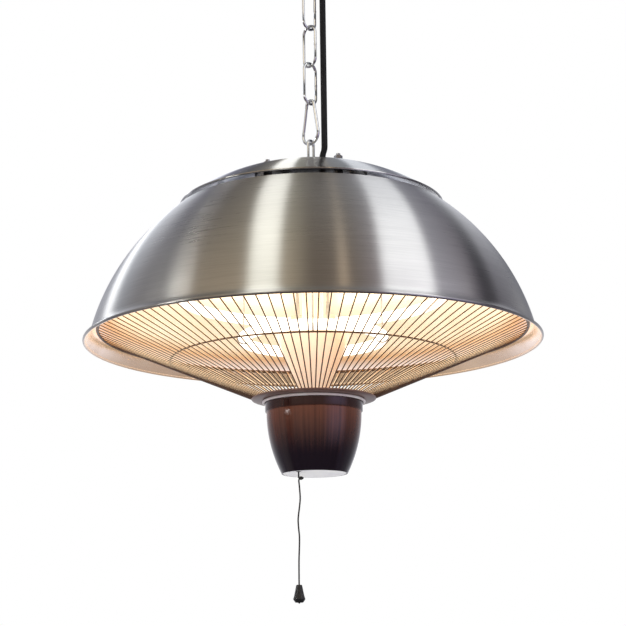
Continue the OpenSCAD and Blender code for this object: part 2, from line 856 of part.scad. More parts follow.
// Leads from the stem up over the reflector to the lamp posts
lead_d = 2;
lead_start_r = 15;
pull_turn = atan2(pull_y, pull_x);
pull_out = norm([pull_x, pull_y]);
module lead_from_hub(ring_r, gap_turn, side) {
    reach = side * cap_reach(ring_r);
    post_top = reflector_z(ring_r) + 6;
    run = gap_turn + reach;
    rotate([0, 0, run])
        swept([
            [lead_start_r, 0, hub_z - 9], [lead_start_r + 6, 0, hub_z - 10], [lead_start_r + 14, 0, hub_z - 12],
            [ring_r - 10, 0, post_top + 7], [ring_r - 3, 0, post_top + 5], [ring_r, 0, post_top + 2],
            [ring_r, 0, post_top],
        ], lead_d, 8);
}

module lamp_leads() {
    color("ivory")
        at_rim()
            for (side = [-1, 1]) {
                lead_from_hub(outer_lamp_r, outer_gap_turn, side);
                lead_from_hub(inner_lamp_r, inner_gap_turn, side);
            }
}

module switch_leads() {
    color("ivory")
        at_rim()
            for (s = [-1, 1])
                translate([3 * s, 0, 0]) rotate([0, 0, pull_turn])
                    swept([
                        [0, 0, hub_z + hub_t + 4], [0, 0, stem_low_z + 6], [0.6, 0, stem_low_z],
                        [pull_out - 6, 0, switch_top_z + 9], [pull_out, 0, switch_top_z + 4],
                        [pull_out, 0, switch_top_z + seat_gap],
                    ], lead_d, 8);
}

// Ring lamps: a quartz ring left open where its two ceramic ends meet
outer_gap_turn = 90;
inner_gap_turn = 90;
function gap_angle(ring_r) = 2 * asin((lamp_cap_l + lamp_gap / 2) / ring_r);
function cap_reach(ring_r) = asin((lamp_cap_l / 2 + lamp_gap / 2) / ring_r);
function reflector_z(r) = reflector_centre_z + sqrt(pow(reflector_sphere_r, 2) - pow(r, 2));

module lamp_ring(ring_r, z, gap_turn, outer_d, inner_d) {
    open = gap_angle(ring_r);
    at_rim()
        translate([0, 0, z])
            rotate([0, 0, gap_turn + open / 2])
                rotate_extrude(angle = 360 - open, $fn = 180)
                    translate([ring_r, 0])
                        difference() {
                            circle(d = outer_d, $fn = 32);
                            if (inner_d > 0) circle(d = inner_d, $fn = 32);
                        }
}

lamp_cap_w = 14;
module lamp_caps(ring_r, z, gap_turn) {
    color("ivory")
        at_rim()
            for (s = [-1, 1])
                rotate([0, 0, gap_turn + s * cap_reach(ring_r)])
                    translate([ring_r - lamp_cap_w / 2, -lamp_cap_l / 2, z - lamp_cap_w / 2])
                        cube([lamp_cap_w, lamp_cap_l - 1, lamp_cap_w]);
}

// The sleeve on a post stands on the uphill side of the reflector's slope
post_sleeve_d = 6;
post_sleeve_h = 2.5;
module lamp_posts(ring_r, z, gap_turn) {
    low = z + lamp_cap_w / 2;
    high = reflector_z(ring_r) + 6;
    color("silver")
        at_rim()
            at_posts(ring_r, gap_turn) {
                translate([0, 0, low]) cylinder(h = high - low, d = post_d);
                translate([0, 0, reflector_z(ring_r - post_sleeve_d / 2) + seat_gap])
                    sleeve(post_sleeve_d, post_d, post_sleeve_h);
            }
}

// Wire clips that hold a ring lamp up to the reflector at three places
clip_wire_d = 1.6;
module lamp_clips(ring_r, z, gap_turn) {
    loop_r = (tube_d + clip_wire_d) / 2 + seat_gap;
    color("silver")
        at_rim()
            for (k = [-1, 0, 1])
                rotate([0, 0, gap_turn + 180 + 80 * k])
                    translate([ring_r, 0, z]) {
                        wire_arc(loop_r, clip_wire_d, 0, 360);
                        rod([0, 0, loop_r], [0, 0, reflector_z(ring_r + clip_wire_d) - z - sheet_t - seat_gap], clip_wire_d);
                    }
}

module outer_tube() {
    color("orange") lamp_ring(outer_lamp_r, outer_lamp_z, outer_gap_turn, tube_d, tube_d - 2 * tube_wall);
}

module outer_filament() {
    color("yellow") lamp_ring(outer_lamp_r, outer_lamp_z, outer_gap_turn, 3, 0);
}

module outer_lamp_caps() {
    lamp_caps(outer_lamp_r, outer_lamp_z, outer_gap_turn);
}

module outer_lamp_posts() {
    lamp_posts(outer_lamp_r, outer_lamp_z, outer_gap_turn);
}

module outer_lamp_clips() {
    lamp_clips(outer_lamp_r, outer_lamp_z, outer_gap_turn);
}

module inner_tube() {
    color("orange") lamp_ring(inner_lamp_r, inner_lamp_z, inner_gap_turn, tube_d, tube_d - 2 * tube_wall);
}

module inner_filament() {
    color("yellow") lamp_ring(inner_lamp_r, inner_lamp_z, inner_gap_turn, 3, 0);
}

module inner_lamp_caps() {
    lamp_caps(inner_lamp_r, inner_lamp_z, inner_gap_turn);
}

module inner_lamp_posts() {
    lamp_posts(inner_lamp_r, inner_lamp_z, inner_gap_turn);
}

module inner_lamp_clips() {
    lamp_clips(inner_lamp_r, inner_lamp_z, inner_gap_turn);
}

// Grille: straight wires from the outer ring down to the collar, the middle ring inside them
module grille_ring() {
    color("saddlebrown") at_rim() translate([0, 0, grille_ring_z]) wire_ring(grille_ring_r, grille_ring_d);
}

module grille_mid_ring() {
    offset_z = (grille_wire_d + mid_ring_d) / 2 / cos(grille_lean) + seat_gap;
    color("saddlebrown")
        at_rim() translate([0, 0, grille_z(mid_ring_r) + offset_z]) wire_ring(mid_ring_r, mid_ring_d);
}

module grille_wires() {
    high_r = grille_ring_r - (grille_ring_d / 2 + seat_gap) * cos(grille_lean);
    low_r = collar_r - wire_lap;
    color("saddlebrown")
        at_rim()
            for (k = [0:grille_count - 1]) rotate([0, 0, 360 * (k + 0.5) / grille_count])
                rod([low_r, 0, grille_z(low_r)], [high_r, 0, grille_z(high_r)], grille_wire_d);
}

module grille_clips() {
    low = grille_ring_z - grille_ring_d / 2 - 1;
    inner = grille_ring_r - grille_ring_d / 2 - 1;
    color("silver")
        at_rim()
            for (k = [0:3]) rotate([0, 0, 45 + 90 * k])
                difference() {
                    translate([inner, -4, low])
                        cube([reflector_edge_r - 1.7 - inner, 8, reflector_edge_z + 0.3 - low]);
                    translate([0, 0, grille_ring_z]) wire_ring(grille_ring_r, grille_ring_d + 0.2);
                }
}

module collar() {
    half = collar_t / 2 / cos(grille_lean);
    edge_z = grille_z(collar_r) - collar_gap;
    stem_hole_r = stem_d / 2 + 0.2;
    color("dimgray")
        at_rim()
            rotate_extrude($fn = 120)
                polygon([
                    [stem_hole_r, floor_z - collar_t / 2], [floor_r, floor_z - collar_t / 2],
                    [collar_r, edge_z - half], [collar_r, edge_z + half],
                    [floor_r - 0.4, floor_z + collar_t / 2], [stem_hole_r, floor_z + collar_t / 2],
                ]);
}

module trim_ring() {
    color("white")
        at_rim()
            translate([0, 0, pot_top_z - trim_d / 2 - seat_gap])
                wire_ring(neck_r + trim_d / 2 + seat_gap, trim_d);
}

module pot() {
    side = [for (i = [0:12]) let (z = pot_side_z + (pot_low_z - pot_side_z) * i / 12) [pot_r(z), z]];
    inside = [for (i = [12:-1:0]) let (z = pot_side_z + (pot_low_z - pot_side_z) * i / 12)
        [max(pot_r(z) - pot_wall, cover_r + 0.1), z]];
    stem_hole_r = stem_d / 2 + 0.2;
    color("saddlebrown")
        at_rim() {
            difference() {
                rotate_extrude($fn = 120)
                    polygon(concat(
                        [[stem_hole_r, pot_top_z], [neck_r, pot_top_z], [neck_r, pot_side_z]],
                        side, inside,
                        [[neck_r - pot_wall, pot_side_z], [neck_r - pot_wall, pot_top_z - pot_wall],
                         [stem_hole_r, pot_top_z - pot_wall]]
                    ));
                translate([0, 0, pot_low_z - 1]) cylinder(h = cover_t + 1, r = cover_r + 0.1);
            }
            for (s = [-1, 1]) translate([s * cover_boss_x, cover_boss_y, cover_z + cover_t])
                difference() {
                    cylinder(h = pot_top_z - pot_wall - cover_z - cover_t + 0.2, d = 6);
                    translate([0, 0, -1]) cylinder(h = 12, d = 2.5);
                }
        }
}

cover_boss_x = 17;
cover_boss_y = 14;
bush_d = 5;
module bottom_cover() {
    color("lavender")
        at_rim() {
            difference() {
                translate([0, 0, cover_z]) cylinder(h = cover_t, r = cover_r, $fn = 120);
                translate([pull_x, pull_y, cover_z - 1]) cylinder(h = cover_t + 2, d = bush_d - 2);
                for (s = [-1, 1]) translate([s * cover_boss_x, cover_boss_y, cover_z - 1])
                    cylinder(h = cover_t + 2, d = 2.8);
            }
        }
}

module switch_body() {
    floor_t = 3;
    color("ivory")
        at_rim()
            difference() {
                translate([pull_x - switch_w / 2, pull_y - switch_depth / 2, switch_low_z])
                    cube([switch_w, switch_depth, switch_h]);
                translate([pull_x, pull_y, switch_low_z + floor_t])
                    cylinder(h = plunger_top_z + 1 - switch_low_z - floor_t, r = plunger_r + running_gap);
                translate([pull_x, pull_y, switch_low_z - 1]) cylinder(h = floor_t + 2, r = rod_r + running_gap);
            }
}

module switch_bracket() {
    wall = 1.2;
    face_y = pull_y + switch_depth / 2;
    top = pot_top_z - pot_wall;
    color("silver")
        at_rim() {
            translate([pull_x - 7, face_y, switch_low_z + 4]) cube([6, wall, top - switch_low_z - 4]);
            translate([pull_x - 7, face_y - 8, top - wall]) cube([6, 8 + wall, wall]);
        }
}

module pull_plunger() {
    color("white")
        at_rim()
            translate([pull_x, pull_y, 0]) {
                translate([0, 0, plunger_top_z - plunger_h]) cylinder(h = plunger_h, r = plunger_r);
                translate([0, 0, rod_low_z]) cylinder(h = plunger_top_z - 1 - rod_low_z, r = rod_r);
                translate([0, 0, knot_z]) cylinder(h = rod_low_z + 1 - knot_z, d = pull_d);
                translate([0, 0, knot_z]) sphere(r = knot_r);
            }
}

module pull_cord() {
    color("black")
        at_rim()
            translate([pull_x, pull_y, cord_top_z - wire_gap])
                swept([for (p = pull_route) [p.x, p.y, p.z]], pull_d, 8);
}

module pull_knob() {
    color("black")
        at_rim()
            translate([pull_x + knob_x, pull_y, knob_top_z - wire_gap]) {
                translate([0, 0, -knob_h + 3]) cylinder(h = knob_h - 3, d1 = knob_d, d2 = knob_d / 2);
                translate([0, 0, -knob_h]) cylinder(h = 3, d1 = knob_d - 4, d2 = knob_d);
            }
}

ceiling_plate();
ceiling_eye();
cord_grip();
cable_ceiling();
chain_link_top();
cable_link_top();
chain_link_mid();
cable_link_mid();
chain_link_low();
cable_link_low();
hook_frame();
gate_pin();
cable_hook();
hook_gate();
hanger();
hanger_nuts();
hanger_plate();
top_cap();
cap_nuts();
studs();
upper_spacers();
lower_spacers();
hub();
hub_rivets();
shade();
reflector();
reflector_nuts();
stem();
stem_nuts();
cable_gland();
gland_nut();
cable_heater();
cable_tail();
terminal_box();
terminal_block();
lamp_leads();
switch_leads();
outer_tube();
outer_filament();
outer_lamp_caps();
outer_lamp_posts();
outer_lamp_clips();
inner_tube();
inner_filament();
inner_lamp_caps();
inner_lamp_posts();
inner_lamp_clips();
grille_ring();
grille_mid_ring();
grille_wires();
grille_clips();
collar();
trim_ring();
pot();
bottom_cover();
switch_body();
switch_bracket();
pull_plunger();
pull_cord();
pull_knob();
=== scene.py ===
"""Looks of a hanging patio heater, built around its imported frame."""

import json
import math

import bpy
from mathutils import Matrix, Vector


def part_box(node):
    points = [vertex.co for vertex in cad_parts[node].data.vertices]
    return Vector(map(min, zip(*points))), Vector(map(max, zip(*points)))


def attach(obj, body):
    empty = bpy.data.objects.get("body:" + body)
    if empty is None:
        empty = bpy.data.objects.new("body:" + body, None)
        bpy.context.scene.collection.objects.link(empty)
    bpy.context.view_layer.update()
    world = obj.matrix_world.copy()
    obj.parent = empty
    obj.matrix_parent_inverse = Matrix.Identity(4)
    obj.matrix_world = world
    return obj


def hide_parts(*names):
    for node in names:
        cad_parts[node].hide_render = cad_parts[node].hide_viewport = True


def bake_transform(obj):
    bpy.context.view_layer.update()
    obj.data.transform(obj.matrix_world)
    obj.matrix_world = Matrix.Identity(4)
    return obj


bl_info = {
    "name": "Hanging patio heater",
    "version": (1, 0, 0),
    "blender": (4, 5, 0),
    "location": "View3D > Sidebar > Heater",
    "description": "Models and finishes a hanging patio heater around its packed frame",
    "category": "Add Mesh",
}

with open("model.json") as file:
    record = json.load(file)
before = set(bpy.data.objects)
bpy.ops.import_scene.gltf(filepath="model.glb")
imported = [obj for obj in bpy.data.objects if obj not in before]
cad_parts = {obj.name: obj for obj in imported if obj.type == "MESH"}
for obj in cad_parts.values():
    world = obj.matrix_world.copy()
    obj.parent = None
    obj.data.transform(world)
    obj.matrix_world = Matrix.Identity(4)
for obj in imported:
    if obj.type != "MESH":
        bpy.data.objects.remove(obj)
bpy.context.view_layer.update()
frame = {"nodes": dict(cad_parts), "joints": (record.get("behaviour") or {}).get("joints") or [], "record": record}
MM = 0.001
UP = Vector((0, 0, 1))
JOINT_Z = {joint["name"]: joint["pos_m"][2] for joint in frame["joints"] if "pos_m" in joint}
BEAD = 0.0015
RIM_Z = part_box("shade")[0].z + BEAD
CABLE_X = 0.0132
GLAND_X = 0.011
CORD_X, CORD_Y = -0.0145, -0.020
LINK_PITCH = 0.0386
PLAY = 0.0003
REFLECTOR_R = 0.2013
TENT = 2.6
TENT_Z = -0.35
VIEW_Y, VIEW_Z = 0.975, 0.2216


# Sizes and colours that a user would change


def length_setting(name, description, default):
    return bpy.props.FloatProperty(
        name=name, description=description, default=default, unit="LENGTH", subtype="DISTANCE")


def colour_setting(name, description, default):
    return bpy.props.FloatVectorProperty(
        name=name, description=description, default=default, size=3, subtype="COLOR")


class HeaterSizes(bpy.types.PropertyGroup):
    rim_radius: length_setting("Rim radius", "Outside radius of the shade's rolled rim", 0.2125)
    dome_radius: length_setting("Dome radius", "Radius of the sphere that the shade is spun to", 0.212)
    cap_radius: length_setting("Cap radius", "Radius of the sphere that the cap is spun to", 0.214)
    sheet: length_setting("Sheet", "Thickness of the spun sheet", 0.0008)
    link_wire: length_setting("Link wire", "Thickness of the chain's wire", 0.0028)
    link_width: length_setting("Link width", "Outside width of a chain link", 0.0185)
    hook_wire: length_setting("Hook wire", "Thickness of the snap hook's wire", 0.0032)
    cable: length_setting("Cable", "Thickness of the mains cable", 0.006)
    grille_wire: length_setting("Grille wire", "Thickness of a grille wire", 0.0012)
    grille_count: bpy.props.IntProperty(
        name="Grille wires", description="Number of wires round the grille",
        default=112, min=48, max=120)
    string: length_setting("Pull cord", "Thickness of the pull cord", 0.0014)


class HeaterColours(bpy.types.PropertyGroup):
    steel: colour_setting("Steel", "Colour of the brushed shade and cap", (0.60, 0.585, 0.555))
    gold: colour_setting("Reflector", "Colour of the polished reflector", (0.96, 0.88, 0.72))
    bronze: colour_setting("Grille", "Colour of the lacquered grille wires", (0.130, 0.066, 0.034))
    # The upper pot colour carries the lamps' light, painted onto the lacquer.
    pot_lit_top: colour_setting("Pot, upper", "Colour of the pot under its neck band", (0.150, 0.052, 0.030))
    pot_foot: colour_setting("Pot, lower", "Colour of the pot at its lower edge", (0.010, 0.006, 0.010))
    cover: colour_setting("Cover", "Colour of the bottom cover", (0.88, 0.87, 0.94))
    glow: colour_setting("Lamp glow", "Colour of the light from the ring lamps", (1.0, 0.92, 0.78))


# Finishes


def maths(operation, turned=False):
    def method(self, other):
        first, second = (other, self) if turned else (self, other)
        return self.finish.maths(operation, first, second)

    return method


class Signal:
    """A node's output that adds a maths node wherever it is used in an expression."""

    def __init__(self, finish, socket):
        self.finish = finish
        self.socket = socket

    __add__ = maths("ADD")
    __radd__ = maths("ADD", turned=True)
    __sub__ = maths("SUBTRACT")
    __rsub__ = maths("SUBTRACT", turned=True)
    __mul__ = maths("MULTIPLY")
    __rmul__ = maths("MULTIPLY", turned=True)
    __truediv__ = maths("DIVIDE")
    __rtruediv__ = maths("DIVIDE", turned=True)
    __pow__ = maths("POWER")
    __rpow__ = maths("POWER", turned=True)


class Finish:
    """The node tree of one material or of the world."""

    def __init__(self, owner):
        owner.use_nodes = True
        self.owner = owner
        self.tree = owner.node_tree
        self.tree.nodes.clear()

    def node(self, kind, inputs=None, output=0, **settings):
        made = self.tree.nodes.new(kind)
        for name, value in settings.items():
            if name == "stops":
                ramp = made.color_ramp
                for place, colour in value:
                    stop = ramp.elements[0] if place == value[0][0] else ramp.elements.new(place)
                    stop.position = place
                    stop.color = (*colour, 1)
                ramp.elements.remove(ramp.elements[len(value)])
            else:
                setattr(made, name, value)
        for name, value in (inputs or {}).items():
            if isinstance(value, Signal):
                self.tree.links.new(value.socket, made.inputs[name])
            else:
                made.inputs[name].default_value = value
        return Signal(self, made.outputs[output] if made.outputs else None)

    def maths(self, operation, first, second):
        return self.node("ShaderNodeMath", {0: first, 1: second}, operation=operation)

    def place(self):
        return self.node("ShaderNodeTexCoord", output="Object")

    def axes(self, vector):
        return [self.node("ShaderNodeSeparateXYZ", {0: vector}, k) for k in range(3)]

    def vector(self, x, y, z):
        return self.node("ShaderNodeCombineXYZ", {0: x, 1: y, 2: z})

    def scaled(self, vector, scale):
        return self.node("ShaderNodeVectorMath", {0: vector, 1: scale}, operation="MULTIPLY")

    def noise(self, scale, detail=2.0, vector=None, roughness=0.5):
        vector = vector or self.place()
        inputs = {"Vector": vector, "Scale": scale, "Detail": detail, "Roughness": roughness}
        return self.node("ShaderNodeTexNoise", inputs, noise_dimensions="3D")

    def ramp(self, factor, *stops):
        return self.node("ShaderNodeValToRGB", {0: factor}, stops=stops)

    def span(self, value, low, high, to_low=0.0, to_high=1.0):
        inputs = {"Value": value, "From Min": low, "From Max": high, "To Min": to_low, "To Max": to_high}
        return self.node("ShaderNodeMapRange", inputs, clamp=True)

    def spread(self, noise, to_low=0.0, to_high=1.0):
        """Stretches a noise, whose values keep near their middle, to a full range."""
        return self.span(noise, 0.3, 0.7, to_low, to_high)

    def mix(self, factor, first, second, blend="MIX"):
        first = first if isinstance(first, Signal) else (*first, 1)
        second = second if isinstance(second, Signal) else (*second, 1)
        inputs = {0: factor, 6: first, 7: second}
        return self.node("ShaderNodeMix", inputs, 2, data_type="RGBA", blend_type=blend)

    def bump(self, height, strength, distance):
        return self.node("ShaderNodeBump", {"Height": height, "Strength": strength, "Distance": distance})

    def brushed_round_axis(self, fineness, length):
        """Fine lines round the Z axis, as a spun and brushed piece has."""
        x, y, z = self.axes(self.place())
        radius = (x * x + y * y + 1e-9) ** 0.5
        along = (z - radius) * fineness
        return self.noise(1.0, 3.0, self.vector(x / radius * length, y / radius * length, along), 0.6)

    def from_axis(self):
        x, y = self.axes(self.place())[:2]
        return (x * x + y * y) ** 0.5

    def tinted(self, tone, shade):
        """A colour made darker or paler by a shade that is 1 in the middle."""
        return self.mix(1.0, tone, self.vector(shade, shade, shade), "MULTIPLY")

    def surface(self, **inputs):
        """Makes the material from a principled shader, given its sockets by name."""
        inputs = {name.replace("_", " "): value for name, value in inputs.items()}
        for name, value in inputs.items():
            if isinstance(value, tuple):
                inputs[name] = (*value, 1)
        return self.material(self.node("ShaderNodeBsdfPrincipled", inputs))

    def material(self, shader):
        self.node("ShaderNodeOutputMaterial", {"Surface": shader})
        return self.owner


def new_finish(name):
    return Finish(bpy.data.materials.new(name))


def brushed_steel(name, colour, dullness):
    """Brushed sheet with fine lines round the axis, cloudy here and there."""
    finish = new_finish(name)
    lines = finish.brushed_round_axis(900.0, 5.0)
    broad = finish.brushed_round_axis(160.0, 2.0)
    cloud = finish.noise(9.0)
    shade = finish.spread(lines * 0.6 + broad * 0.4, 0.88, 1.08)
    dull = tuple(part * 0.86 for part in colour)
    worn = finish.mix(finish.spread(cloud, 0.0, 0.35), colour, dull)
    return finish.surface(
        Base_Color=finish.tinted(worn, shade), Metallic=1.0,
        Roughness=finish.spread(lines * 0.5 + cloud * 0.5, dullness, dullness + 0.06),
        Anisotropic=1.0, Anisotropic_Rotation=0.25,
        Normal=finish.bump(lines, 0.08, 0.0002))


def bright_metal(name, colour, roughness, mottling):
    """Plated or polished metal with faint smears and pits."""
    finish = new_finish(name)
    smear = finish.noise(220.0, 3.0, finish.scaled(finish.place(), (1.0, 1.0, 0.35)))
    pits = finish.noise(1800.0)
    dark = tuple(part * (1.0 - mottling) for part in colour)
    return finish.surface(
        Base_Color=finish.mix(finish.span(smear, 0.35, 0.7), colour, dark), Metallic=1.0,
        Roughness=finish.spread(smear, roughness * 0.75, roughness * 1.3),
        Normal=finish.bump(pits, 0.08, 0.0001))


def gold_reflector(colour):
    """Polished reflector with the lit lamps' light painted on as a glow, and painted shade that browns it at its
    edge.
    """
    finish = new_finish("Polished reflector, painted glow")
    lines = finish.brushed_round_axis(420.0, 3.0)
    patch = finish.noise(26.0)
    warm = (colour[0] * 0.95, colour[1] * 0.86, colour[2] * 0.75)
    radius = finish.from_axis()
    # Painted shade: this mask browns the base colour near the rim.
    edge = finish.span(radius, 0.184, 0.195)
    metal = finish.mix(finish.span(patch, 0.35, 0.65), colour, warm)
    # Painted glow: rings of the lamps' light by distance from the axis, ending in painted brown shade at the rim.
    glow = finish.ramp(
        radius / REFLECTOR_R,
        (0.10, (1.0, 0.76, 0.52)), (0.26, (1.0, 0.80, 0.57)), (0.33, (1.0, 0.93, 0.80)),
        (0.42, (1.0, 0.82, 0.58)), (0.62, (1.0, 0.90, 0.74)), (0.74, (1.0, 0.85, 0.65)),
        (0.90, (1.0, 0.82, 0.58)), (0.95, (0.74, 0.40, 0.18)), (1.00, (0.50, 0.20, 0.07)))
    return finish.surface(
        Base_Color=finish.mix(edge, metal, (0.42, 0.17, 0.06)), Metallic=0.85,
        Roughness=finish.spread(lines, 0.42, 0.56),
        Emission_Color=finish.mix(finish.spread(patch, 0.0, 0.3), glow, (1.0, 0.70, 0.42)),
        Emission_Strength=0.8,
        Normal=finish.bump(lines * 0.3 + patch, 0.2, 0.002))


def cone_coat_painted_glow():
    """Peach coat of the cone, with the inner lamp's light painted on as an uneven glow and painted shade on its +X
    side.
    """
    finish = new_finish("Cone coat, painted glow")
    x = finish.axes(finish.place())[0]
    patch = finish.noise(60.0)
    # Painted shade: the glow turns darker towards the cone's +X side.
    side = finish.span(x + (patch - 0.5) * 0.01, 0.004, 0.022)
    return finish.surface(
        Base_Color=finish.mix(patch, (0.90, 0.72, 0.56), (0.80, 0.60, 0.44)), Metallic=0.4,
        Roughness=finish.spread(patch, 0.4, 0.55),
        Emission_Color=finish.mix(side, (1.0, 0.84, 0.66), (0.62, 0.38, 0.22)), Emission_Strength=0.5)


def lit_wire():
    """Lacquered wire on the side of the lamps, with their light painted on as a paler colour and a glow, and
    painted shade browner by the grille's edge.
    """
    finish = new_finish("Wire in the light")
    rubbed = finish.noise(60.0)
    # Painted shade: the glow turns browner towards the grille's edge.
    far = finish.span(finish.from_axis(), 0.165, 0.192)
    return finish.surface(
        Base_Color=finish.mix(rubbed, (0.45, 0.33, 0.22), (0.55, 0.40, 0.26)), Metallic=0.5, Roughness=0.45,
        Emission_Color=finish.mix(far, (1.0, 0.83, 0.58), (0.62, 0.28, 0.10)), Emission_Strength=0.6)


def lit_sheet():
    """Bare sheet inside the skirt, with smears and the warm light of the lamps painted on it as a glow."""
    finish = new_finish("Sheet by the lamps")
    smear = finish.noise(30.0, 3.0, finish.scaled(finish.place(), (1.0, 1.0, 3.0)))
    return finish.surface(
        Base_Color=finish.mix(finish.span(smear, 0.35, 0.65), (0.84, 0.79, 0.84), (0.80, 0.72, 0.70)),
        Metallic=0.95, Roughness=finish.spread(smear, 0.16, 0.3),
        Emission_Color=finish.mix(finish.spread(smear), (1.0, 0.66, 0.30), (0.92, 0.60, 0.34)),
        Emission_Strength=0.34,
        Normal=finish.bump(smear, 0.15, 0.002))


def lacquer(name, colour, metallic, roughness):
    """Lacquered metal with a fine orange peel and slightly rubbed spots."""
    finish = new_finish(name)
    peel = finish.noise(900.0)
    rubbed = finish.noise(60.0, 3.0)
    paler = tuple(min(1.0, part * 1.5 + 0.02) for part in colour)
    return finish.surface(
        Base_Color=finish.mix(finish.span(rubbed, 0.5, 0.8), colour, paler), Metallic=metallic,
        Roughness=finish.spread(rubbed, roughness * 0.8, roughness * 1.2),
        Coat_Weight=0.4, Coat_Roughness=0.15,
        Normal=finish.bump(peel, 0.1, 0.0001))


def pot_lacquer_painted_light(upper, lower):
    """Dark glossy lacquer with the lamps' light painted in, redder towards the lamps above, drawn down in faint
    streaks and darker over the neck band.
    """
    finish = new_finish("Pot lacquer")
    x, y, z = finish.axes(finish.place())
    radius = (x * x + y * y + 1e-9) ** 0.5
    round_way = finish.vector(x / radius * 22.0, y / radius * 22.0, z * 6.0)
    streak = finish.noise(1.0, 3.0, round_way, 0.6)
    # Painted light: the colour climbs from the dark foot to the lamp-lit top.
    rise = finish.span(z + (streak - 0.5) * 0.02, RIM_Z - 0.108, RIM_Z - 0.064)
    tone = finish.mix(rise ** 1.7, lower, upper)
    # Darker over the neck band.
    tone = finish.mix(finish.span(z, RIM_Z - 0.0645, RIM_Z - 0.0635), tone, (0.035, 0.013, 0.010))
    shade = finish.spread(streak, 0.86, 1.14)
    return finish.surface(
        Base_Color=finish.tinted(tone, shade),
        Roughness=finish.spread(streak, 0.11, 0.16),
        Coat_Weight=0.2, Coat_Roughness=0.06,
        Normal=finish.bump(streak, 0.02, 0.0003))


def moulded(name, colour, roughness, grain, grain_depth=0.15, shine=0.5):
    """Moulded plastic, rubber or paint with a fine grain."""
    finish = new_finish(name)
    fine = finish.noise(grain)
    broad = finish.noise(grain / 18.0)
    paler = tuple(min(1.0, part * 1.18 + 0.006) for part in colour)
    return finish.surface(
        Base_Color=finish.mix(finish.spread(broad), colour, paler),
        Roughness=finish.spread(broad * 0.5 + fine * 0.5, roughness * 0.85, roughness * 1.15),
        Specular_IOR_Level=shine,
        Normal=finish.bump(fine, grain_depth, 0.0002))


def woven(name, colour, pitch):
    """Braided sleeve or string: two crossing helices round each strand."""
    finish = new_finish(name)
    strand = finish.node(
        "ShaderNodeTexWave", {"Vector": finish.place(), "Scale": pitch},
        wave_type="BANDS", bands_direction="DIAGONAL", wave_profile="SIN")
    fuzz = finish.noise(2500.0)
    dark = tuple(part * 0.55 for part in colour)
    return finish.surface(
        Base_Color=finish.mix(strand, dark, colour), Roughness=finish.spread(fuzz, 0.7, 0.95),
        Normal=finish.bump(strand + fuzz * 0.3, 0.4, 0.0002))


def glowing(name, colour, strength, unevenness):
    """A hot tube or filament, slightly brighter in places."""
    finish = new_finish(name)
    patch = finish.noise(45.0)
    cooler = (colour[0], colour[1] * (1.0 - unevenness), colour[2] * (1.0 - 1.6 * unevenness))
    return finish.surface(
        Base_Color=colour, Roughness=finish.spread(patch, 0.05, 0.12), Specular_IOR_Level=0.5,
        Emission_Color=finish.mix(finish.span(patch, 0.35, 0.65), colour, cooler),
        Emission_Strength=strength)


def make_finishes():
    colours = bpy.context.scene.heater_colours
    glow = tuple(colours.glow)
    return {
        "zinc_plate": bright_metal("Bright zinc", (0.56, 0.57, 0.59), 0.32, 0.25),
        "dark_zinc": bright_metal("Dark zinc", (0.45, 0.45, 0.47), 0.4, 0.4),
        "chrome_wire": bright_metal("Polished chrome", (0.80, 0.81, 0.82), 0.09, 0.12),
        "brushed_shade": brushed_steel("Brushed steel", colours.steel, 0.26),
        "brushed_cap": brushed_steel("Brushed cap", colours.steel, 0.13),
        "rolled_sheet": bright_metal("Rolled sheet", (0.66, 0.66, 0.67), 0.10, 0.15),
        "lit_sheet": lit_sheet(),
        "lit_wire": lit_wire(),
        "peach_cone": cone_coat_painted_glow(),
        # Painted sheen: a pale pink lacquer stands in for the bright reflection on the chrome trim ring.
        "pale_trim": lacquer("Trim, painted sheen", (0.88, 0.78, 0.78), 0.5, 0.5),
        "gold_reflector": gold_reflector(colours.gold),
        "collar_steel": lacquer("Collar lacquer", (0.20, 0.115, 0.095), 0.4, 0.45),
        "bronze_wire": lacquer("Bronze lacquer", colours.bronze, 0.5, 0.38),
        "cable_rubber": moulded("Cable sheath", (0.005, 0.005, 0.006), 0.55, 1400.0, 0.15, 0.2),
        "black_plastic": moulded("Black plastic", (0.012, 0.012, 0.012), 0.42, 1200.0),
        "brown_pot": pot_lacquer_painted_light(colours.pot_lit_top, colours.pot_foot),
        "pale_cover": moulded("Pale cover", colours.cover, 0.45, 700.0, 0.08),
        "switch_plastic": moulded("Switch plastic", (0.78, 0.75, 0.68), 0.4, 900.0),
        "lamp_ceramic": moulded("Lamp ceramic", (0.82, 0.78, 0.70), 0.75, 1100.0, 0.3),
        "quartz": glowing("Lit quartz", glow, 2.4, 0.06),
        "hot_filament": glowing("Lit filament", (1.0, 0.62, 0.26), 26.0, 0.15),
        "lead_sleeve": woven("Lead sleeve", (0.75, 0.72, 0.63), 900.0),
        "pull_string": woven("Pull string", (0.035, 0.034, 0.033), 1400.0),
        "dark_box": moulded("Box coat", (0.035, 0.035, 0.038), 0.5, 800.0, 0.3),
    }


FINISHES = {}


# Modelling, as by hand


def deselect():
    if bpy.context.mode != "OBJECT":
        bpy.ops.object.mode_set(mode="OBJECT")
    bpy.ops.object.select_all(action="DESELECT")


def pick(*pieces):
    """Selects pieces alone, with the first one active."""
    deselect()
    for piece in pieces:
        piece.select_set(True)
    bpy.context.view_layer.objects.active = pieces[0]


def take(name):
    """Names the new primitive and puts its place into its mesh."""
    piece = bpy.context.object
    piece.name = name
    piece.data.name = name
    bpy.ops.object.transform_apply(location=True, rotation=True, scale=True)
    return piece


def edit_all():
    bpy.ops.object.mode_set(mode="EDIT")
    bpy.ops.mesh.select_all(action="SELECT")


def leave_edit():
    bpy.ops.object.mode_set(mode="OBJECT")


